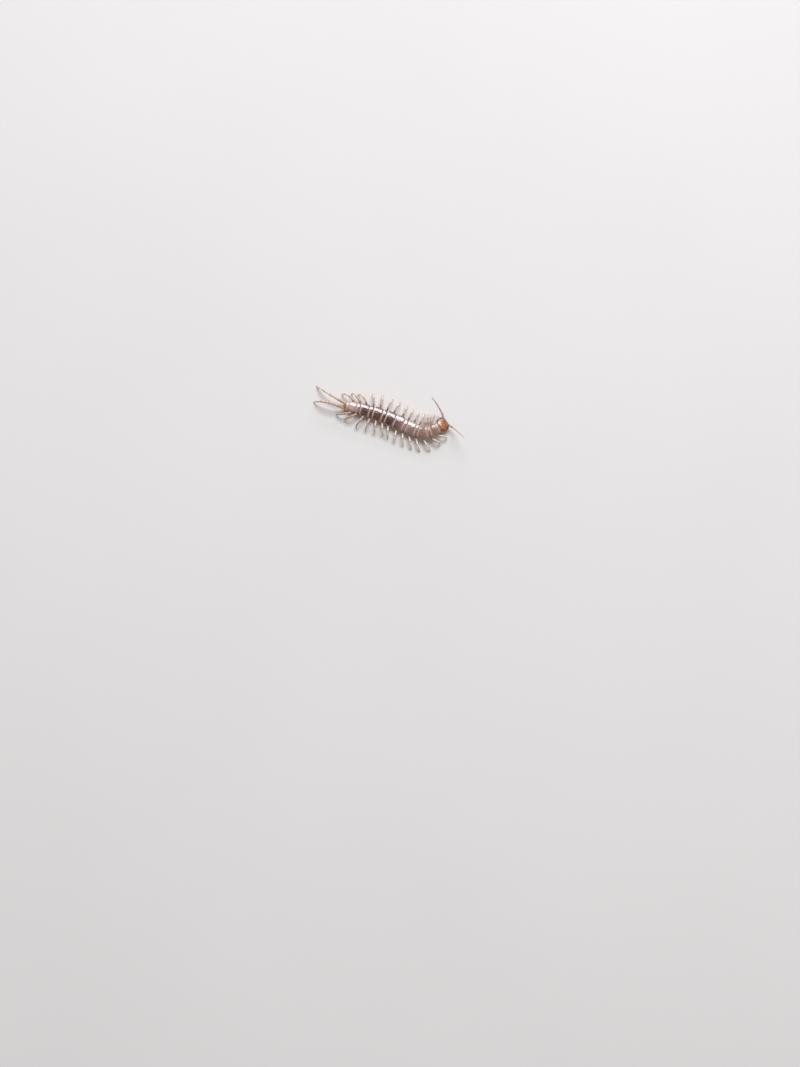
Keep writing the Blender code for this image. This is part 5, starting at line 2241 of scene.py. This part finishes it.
@dataclass(frozen=True)
class Leg:
    """One leg from inside the flank to the claw on the floor."""

    side: Side
    segment: Segment
    sides: int = 16
    last_sides: int = 20
    hair_count: int = 120
    last_hair_count: int = 220

    @property
    def last(self) -> bool:
        """Whether it is one of the trailing legs."""
        return self.segment.number > WALKING_LEGS

    @property
    def share(self) -> float:
        """How far back in the row it stands, from 0 to 1."""
        return min((self.segment.number - 1) / (WALKING_LEGS - 1), 1.0)

    @property
    def girth(self) -> float:
        """Its thickness beside the table's."""
        return LAST_LEG_GIRTH if self.last else float(np.interp(self.share, (0, 1), LEG_GIRTHS))

    def coxa_radii(self) -> tuple[float, float]:
        """Half width along the body and half height of its first article."""
        walking = self.segment.coxa_radius, COXA_RADIUS * self.segment.tall
        return (LAST_COXA_RADIUS, LAST_COXA_RADIUS) if self.last else walking

    def course(self) -> LegCourse:
        """Its line, from the segment's sizes and the swings and reaches.

        Returns:
            The course.
        """
        segment, sign, name = self.segment, self.side.sign, self.side.value
        if self.last:
            point, ahead, left, up = SPINE.frame(segment.rear - GAP / 2)
            root = point + sign * LAST_COXA_ASIDE * left + LAST_COXA_HEIGHT * up - ahead * GAP
            bearing, bow = (math.radians(v) for v in LAST_BEARINGS[name])
            heading = math.atan2(-ahead[1], -ahead[0]) - sign * bearing
            reach = LAST_REACHES[name]
            return leg_course(root, -ahead, left, heading, bow, LAST_LEG_LENGTH, reach, TRAILING_BENDS)
        point, ahead, left, up = SPINE.frame(segment.leg_at)
        out = unit(np.array(((FLANK_TOP - FLANK_FOOT) * segment.tall, -FLANK_SLOPE)))
        way = sign * out[0] * left + out[1] * up
        middle = point + sign * (segment.half_body - FLANK_SLOPE / 2) * left + segment.leg_height * up
        swing = math.radians(SWINGS[name][segment.number - 1])
        heading = math.atan2(sign * left[1], sign * left[0]) - sign * swing
        length = FRONT_LEG_LENGTH + (REAR_LEG_LENGTH - FRONT_LEG_LENGTH) * self.share
        bow = sign * (math.radians(LEG_BOW) - SWING_SPREAD * swing)
        reach = REACHES[name][segment.number - 1]
        return leg_course(middle + way * GAP, way, ahead, heading, bow, length, reach, WALKING_BENDS)

    def root_rings(self) -> list[tuple[Array, ...]]:
        """Rings of the two short articles at the flank.

        Returns:
            For each article, the arrays of LegRings.
        """
        small = ARTICLE_RADII[0][0] * self.girth
        at, size = np.array(COXA_RINGS).T
        if self.last:
            size[:4] = LAST_COXA_SIZES
        blend = smooth((at - 0.02) / 0.24)
        wide, high = (radius * (1 - blend) for radius in self.coxa_radii())
        sunk = smooth((0.04 - at) / 0.1) * (not self.last)
        first = (
            at, (wide + small * 1.15 * blend) * size, (high + small * 1.10 * blend) * size,
            bell(at - 0.24, 0.03), np.clip(smooth((at - 0.26) / 0.03) + sunk, 0, 1), 0.5 * smooth(at / 0.3),
        )
        at, size = np.array(SECOND_RINGS).T
        soft = 1 - smooth((at - 0.33) / 0.05) * smooth((0.63 - at) / 0.05)
        second = (at, small * size, small * size, 0.4 * bell(at - 0.56, 0.03), soft, np.full(len(at), 0.4))
        return [first, second]

    def rings(self, course: LegCourse) -> LegRings:
        """All its rings, from inside the flank to the claw.

        Each article's radius runs through its three given sizes, narrowed by soft steps at both ends and
        raised by a bell at its far rim. The last one ends in a round tip.

        Args:
            course: The leg's line.

        Returns:
            The rings.
        """
        parts = self.root_rings()
        inner = np.array(ARTICLE_RINGS)
        starts = course.starts
        for article, sizes in enumerate(ARTICLE_RADII):
            tip = article == len(ARTICLE_RADII) - 1
            start, middle, end = (radius * self.girth for radius in sizes)
            first = starts[article] + (0.17 if article == 0 else 0.0)
            if tip:
                radius = np.interp(inner, (0.1, 0.4, 0.80, 1.0), (start, middle, end, end * 0.85))
                radius *= np.sqrt(np.clip(1 - ((inner - 0.8) / 0.21) ** 2 * (inner > 0.8), 0.05, 1))
            else:
                radius = np.interp(inner, (0.1, 0.5, 0.86), (start, middle, end))
                radius *= 1 - 0.18 * smooth((inner - 0.94) / 0.035)
            radius *= 1 - 0.24 * (1 - smooth((inner - 0.01) / 0.08))
            radius += start * 0.06 * bell(inner - 0.915, 0.022) * (not tip)
            rim = bell(inner - 0.925, 0.028) * (not tip) + 0.4 * bell(inner - 0.085, 0.02)
            at = first + (starts[article + 1] - first) * inner * (0.88 if tip else 1.0)
            parts.append((at, radius * 0.94, radius * 1.04, rim, 1 - smooth((inner - 0.01) / 0.04), inner))
        return LegRings(*np.concatenate(parts, axis=1))

    def build(self, finishes: Finishes, meshes: LegMeshes) -> None:
        """Makes the leg, and adds its claw, spurs and hairs to the meshes of its side.

        Args:
            finishes: The materials.
            meshes: The meshes of its side.
        """
        course = self.course()
        found = self.rings(course)
        path, ways = course.rounded(found.at)
        tube = Tube.along(path, ways, carried(ways, course.forward), found.wide, found.high)
        # Warm brown towards the rear: a little on the left as a tone, much more on the right as painted
        # shade.
        rear_tone_and_right_shade = smooth((self.segment.number - 8) / 5) * (0.75 if self.side is Side.RIGHT else 0.2)
        made = Surface().tube(
            tube.rings(self.last_sides if self.last else self.sides),
            path[-1] + ways[-1] * 0.02,
            along=np.clip(found.at / course.starts[-1], 0, 1),
            rim=found.rim,
            soft=found.soft,
            grade=found.grade,
            warmth=0.12 + rear_tone_and_right_shade,
        )
        side, number = self.side.value, f"{self.segment.number:02d}"
        node = (f"leg_{side}_{number}",)
        if self.last:
            made.piece(f"trailing_leg_{side}", finishes.last_leg, Slot.LAST_LEG, node)
        else:
            made.piece(f"walking_leg_{side}_{number}", finishes.leg, Slot.LEG, node)
        self.claw(course, meshes.claws)
        self.spurs(course, meshes.spurs)
        self.hairs(found, tube, meshes.coat)

    def claw(self, course: LegCourse, claws: Surface) -> None:
        """Adds the claw that the leg stands on: a curved cone and two small side claws.

        Args:
            course: The leg's line.
            claws: The mesh to add to.
        """
        step = course.steps[-1]
        foot = course.joints[-1]
        level = np.array((math.cos(course.yaws[-1]), math.sin(course.yaws[-1]), 0.0))
        span = float(np.linalg.norm(foot - course.joints[-2]))
        start = foot - step * span * 0.20
        end = foot * (1, 1, 0) + level * 0.06 + UP * 0.014
        bend = start + step * span * 0.16 + level * 0.05
        bend[2] = max(bend[2], 0.07)
        share = np.linspace(0, 1, 14)
        part = share[:, None]
        line = start * (1 - part) ** 2 + 2 * bend * part * (1 - part) + end * part**2
        side = np.cross(UP, level)
        radius = (0.060 * (1 - share) ** 0.7 + 0.010) * (1.2 if self.last else 1.0)
        tube = Tube.along(line, unit(np.gradient(line, axis=0)), side, radius, radius)
        claws.tube(tube.rings(10), end + level * 0.01, tip=share)
        beside = np.array(((-1.0,), (1.0,))) * side
        ways = unit(step * 0.8 + level * 0.35 + beside * 0.45)
        claws.spines(start + step * 0.05 + beside * 0.035, ways, 0.12, 0.020)

    def spurs(self, course: LegCourse, spurs: Surface) -> None:
        """Adds the long spines that ring the far ends of the three thick articles.

        Args:
            course: The leg's line.
            spurs: The mesh to add to.
        """
        roots, ways, lengths = [], [], []
        for article, angles in enumerate(SPUR_ANGLES):
            step = course.steps[article]
            yaw = course.yaws[article]
            across = np.array((-math.sin(yaw), math.cos(yaw), 0.0))
            over = np.cross(step, across)
            if over[2] < 0:
                over = -over
            outward = spokes(np.radians(angles), across, over)
            radius = ARTICLE_RADII[article][2] * self.girth
            roots.append(course.joints[article + 1] - step * 0.09 + outward * radius * 0.86)
            ways.append(unit(step * 0.95 + outward * 0.62))
            lengths.append((0.21 + 0.13 * self.share) * np.where(np.array(angles) < 0, 1.15, 0.85))
        spurs.spines(np.concatenate(roots), np.concatenate(ways), np.concatenate(lengths), 0.030)

    def hairs(self, found: LegRings, tube: Tube, coat: Coat) -> None:
        """Adds short hairs, denser towards the foot.

        Args:
            found: The leg's rings.
            tube: The same rings in place.
            coat: The hairs to add to.
        """
        number = self.segment.number
        draw = np.random.default_rng(1000 + 2 * number + self.side.sign)
        count = self.last_hair_count if self.last else self.hair_count
        rings = len(found.at)
        first, last = found.at[20], found.at[-3]
        reach = first + (last - first) * draw.uniform(0, 1, count) ** 0.75
        spot = np.interp(reach, found.at, np.arange(rings))
        turn = draw.uniform(0, 2 * math.pi, count)
        ring = tube.at(spot)
        outward = spokes(turn, ring.across, ring.over, ring.wide, ring.high)
        radial = unit(outward)
        way = unit(ring.ways * 0.75 + radial * 0.66)
        lengths = draw.uniform(0.10, 0.19, count)
        column = (number - 1 + (0 if self.side is Side.LEFT else len(SEGMENTS))) / (2 * len(SEGMENTS))
        unwrap = np.stack([column + 0.002 + turn / 2 / math.pi / 34, 0.02 + 0.96 * spot / rings], 1)
        coat.add(ring.path + outward * 0.93, way, lengths, 0.0085, -radial * 0.15, unwrap)


@dataclass(frozen=True)
class Legs:
    """All thirty legs, with their claws, spurs and hairs in a few joined meshes."""

    finishes: Finishes

    def build(self) -> None:
        """Makes every leg."""
        for side in Side:
            meshes = LegMeshes()
            for segment in SEGMENTS:
                Leg(side, segment).build(self.finishes, meshes)
            meshes.claws.piece(f"foot_claws_{side.value}", self.finishes.claw, Slot.CLAW)
            meshes.spurs.piece(f"leg_spurs_{side.value}", self.finishes.claw, Slot.CLAW)
            meshes.coat.piece(f"leg_hairs_{side.value}", self.finishes.hair, Slot.LEG)


@dataclass(frozen=True)
class Lamp:
    """A soft rectangular light that faces the middle of the floor. Lengths are in metres."""

    name: str
    place: tuple[float, float, float]
    long: float
    short: float
    energy: float
    colour: Colour

    def build(self) -> None:
        """Makes the light."""
        lamp = bpy.data.lights.new(self.name, "AREA")
        lamp.shape = "RECTANGLE"
        lamp.size = self.long
        lamp.size_y = self.short
        lamp.energy = self.energy
        lamp.color = self.colour
        made = bpy.data.objects.new(self.name, lamp)
        bpy.context.scene.collection.objects.link(made)
        made.location = self.place
        away = np.array(self.place) / np.linalg.norm(self.place)
        made.rotation_euler = (math.acos(away[2]), 0.0, math.atan2(away[1], away[0]) + math.pi / 2)


@dataclass(frozen=True)
class Studio:
    """Floor, soft lights, pale surroundings and the camera at the photograph's angle."""

    elevation: float = 79.0
    distance: float = 400.0
    pixel: float = 0.24
    picture: tuple[int, int] = (800, 1067)
    animal_at: tuple[float, float] = (388.39, 417.57)
    animal_height: float = 1.4
    floor_size: float = 4.0
    floor_drop: float = 4e-6
    sky: Colour = (1.0, 0.98, 0.95)
    sky_strength: float = 0.25
    lamps: tuple[Lamp, ...] = (
        Lamp("key", (0.14, 0.56, 0.84), 0.66, 0.46, 9.4, (0.96, 0.95, 1.0)),
        Lamp("rim", (0.20, 0.90, 0.44), 0.80, 0.22, 2.4, (0.94, 0.94, 1.0)),
        Lamp("fill", (0.75, -0.55, 0.60), 0.90, 0.60, 0.6, (1.0, 0.95, 0.90)),
    )

    def build(self) -> None:
        """Makes all of it."""
        self.floor()
        self.lights()
        self.camera()

    def floor(self) -> None:
        """A square floor just under the feet."""
        half = self.floor_size / 2
        corners = [(x * half, y * half, -self.floor_drop) for x, y in ((-1, -1), (1, -1), (1, 1), (-1, 1))]
        mesh = bpy.data.meshes.new("floor")
        mesh.from_pydata(corners, [], [(0, 1, 2, 3)])
        mesh.materials.append(FloorFinish().make())
        made = bpy.data.objects.new("floor", mesh)
        bpy.context.scene.collection.objects.link(made)

    def lights(self) -> None:
        """The lamps: a key high on the animal's left, a low rim there, a faint fill; and a pale world."""
        for lamp in self.lamps:
            lamp.build()
        world = bpy.data.worlds.new("studio")
        world.use_nodes = True
        background = world.node_tree.nodes["Background"]
        background.inputs["Color"].default_value = (*self.sky, 1.0)
        background.inputs["Strength"].default_value = self.sky_strength
        bpy.context.scene.world = world
        bpy.context.scene.view_settings.view_transform = "Standard"

    def camera(self) -> None:
        """The camera, set so that the animal falls on its pixel at the photograph's scale and angle.

        The ray to the animal slopes down by the elevation. The camera's axis is steeper by the angle of the
        animal's pixel above the picture's middle.
        """
        wide, high = self.picture
        right = (self.animal_at[0] - wide / 2) * self.pixel
        up = (high / 2 - self.animal_at[1]) * self.pixel
        slope = math.radians(self.elevation) + math.atan2(up, self.distance)
        data = bpy.data.cameras.new("camera")
        data.sensor_width = 36.0
        data.lens = data.sensor_width * self.distance / (high * self.pixel)
        data.clip_start = 0.01
        data.clip_end = 20.0
        ahead = np.array((0.0, math.cos(slope), -math.sin(slope)))
        above = np.array((0.0, math.sin(slope), math.cos(slope)))
        side = np.array((1.0, 0.0, 0.0))
        target = np.array((0.0, 0.0, self.animal_height))
        made = bpy.data.objects.new("camera", data)
        made.location = (target - self.distance * ahead - up * above - right * side) * MM
        made.rotation_euler = (math.pi / 2 - slope, 0.0, 0.0)
        bpy.context.scene.collection.objects.link(made)
        bpy.context.scene.camera = made


def main() -> None:
    """Builds the animal and its studio."""
    logging.basicConfig(level=logging.INFO, format="%(message)s")
    finishes = Finishes.made()
    body_coat, coat, head_coat = Coat(), Coat(), Coat()
    Trunk(finishes).build(body_coat)
    body_coat.piece("trunk_hairs", finishes.hair, Slot.TRUNK)
    Head(finishes).build(coat, head_coat)
    coat.piece("feeler_hairs", finishes.hair, Slot.ANTENNA)
    head_coat.piece("head_hairs", finishes.hair, Slot.HEAD)
    Legs(finishes).build()
    Studio().build()


if __name__ == "__main__":
    main()
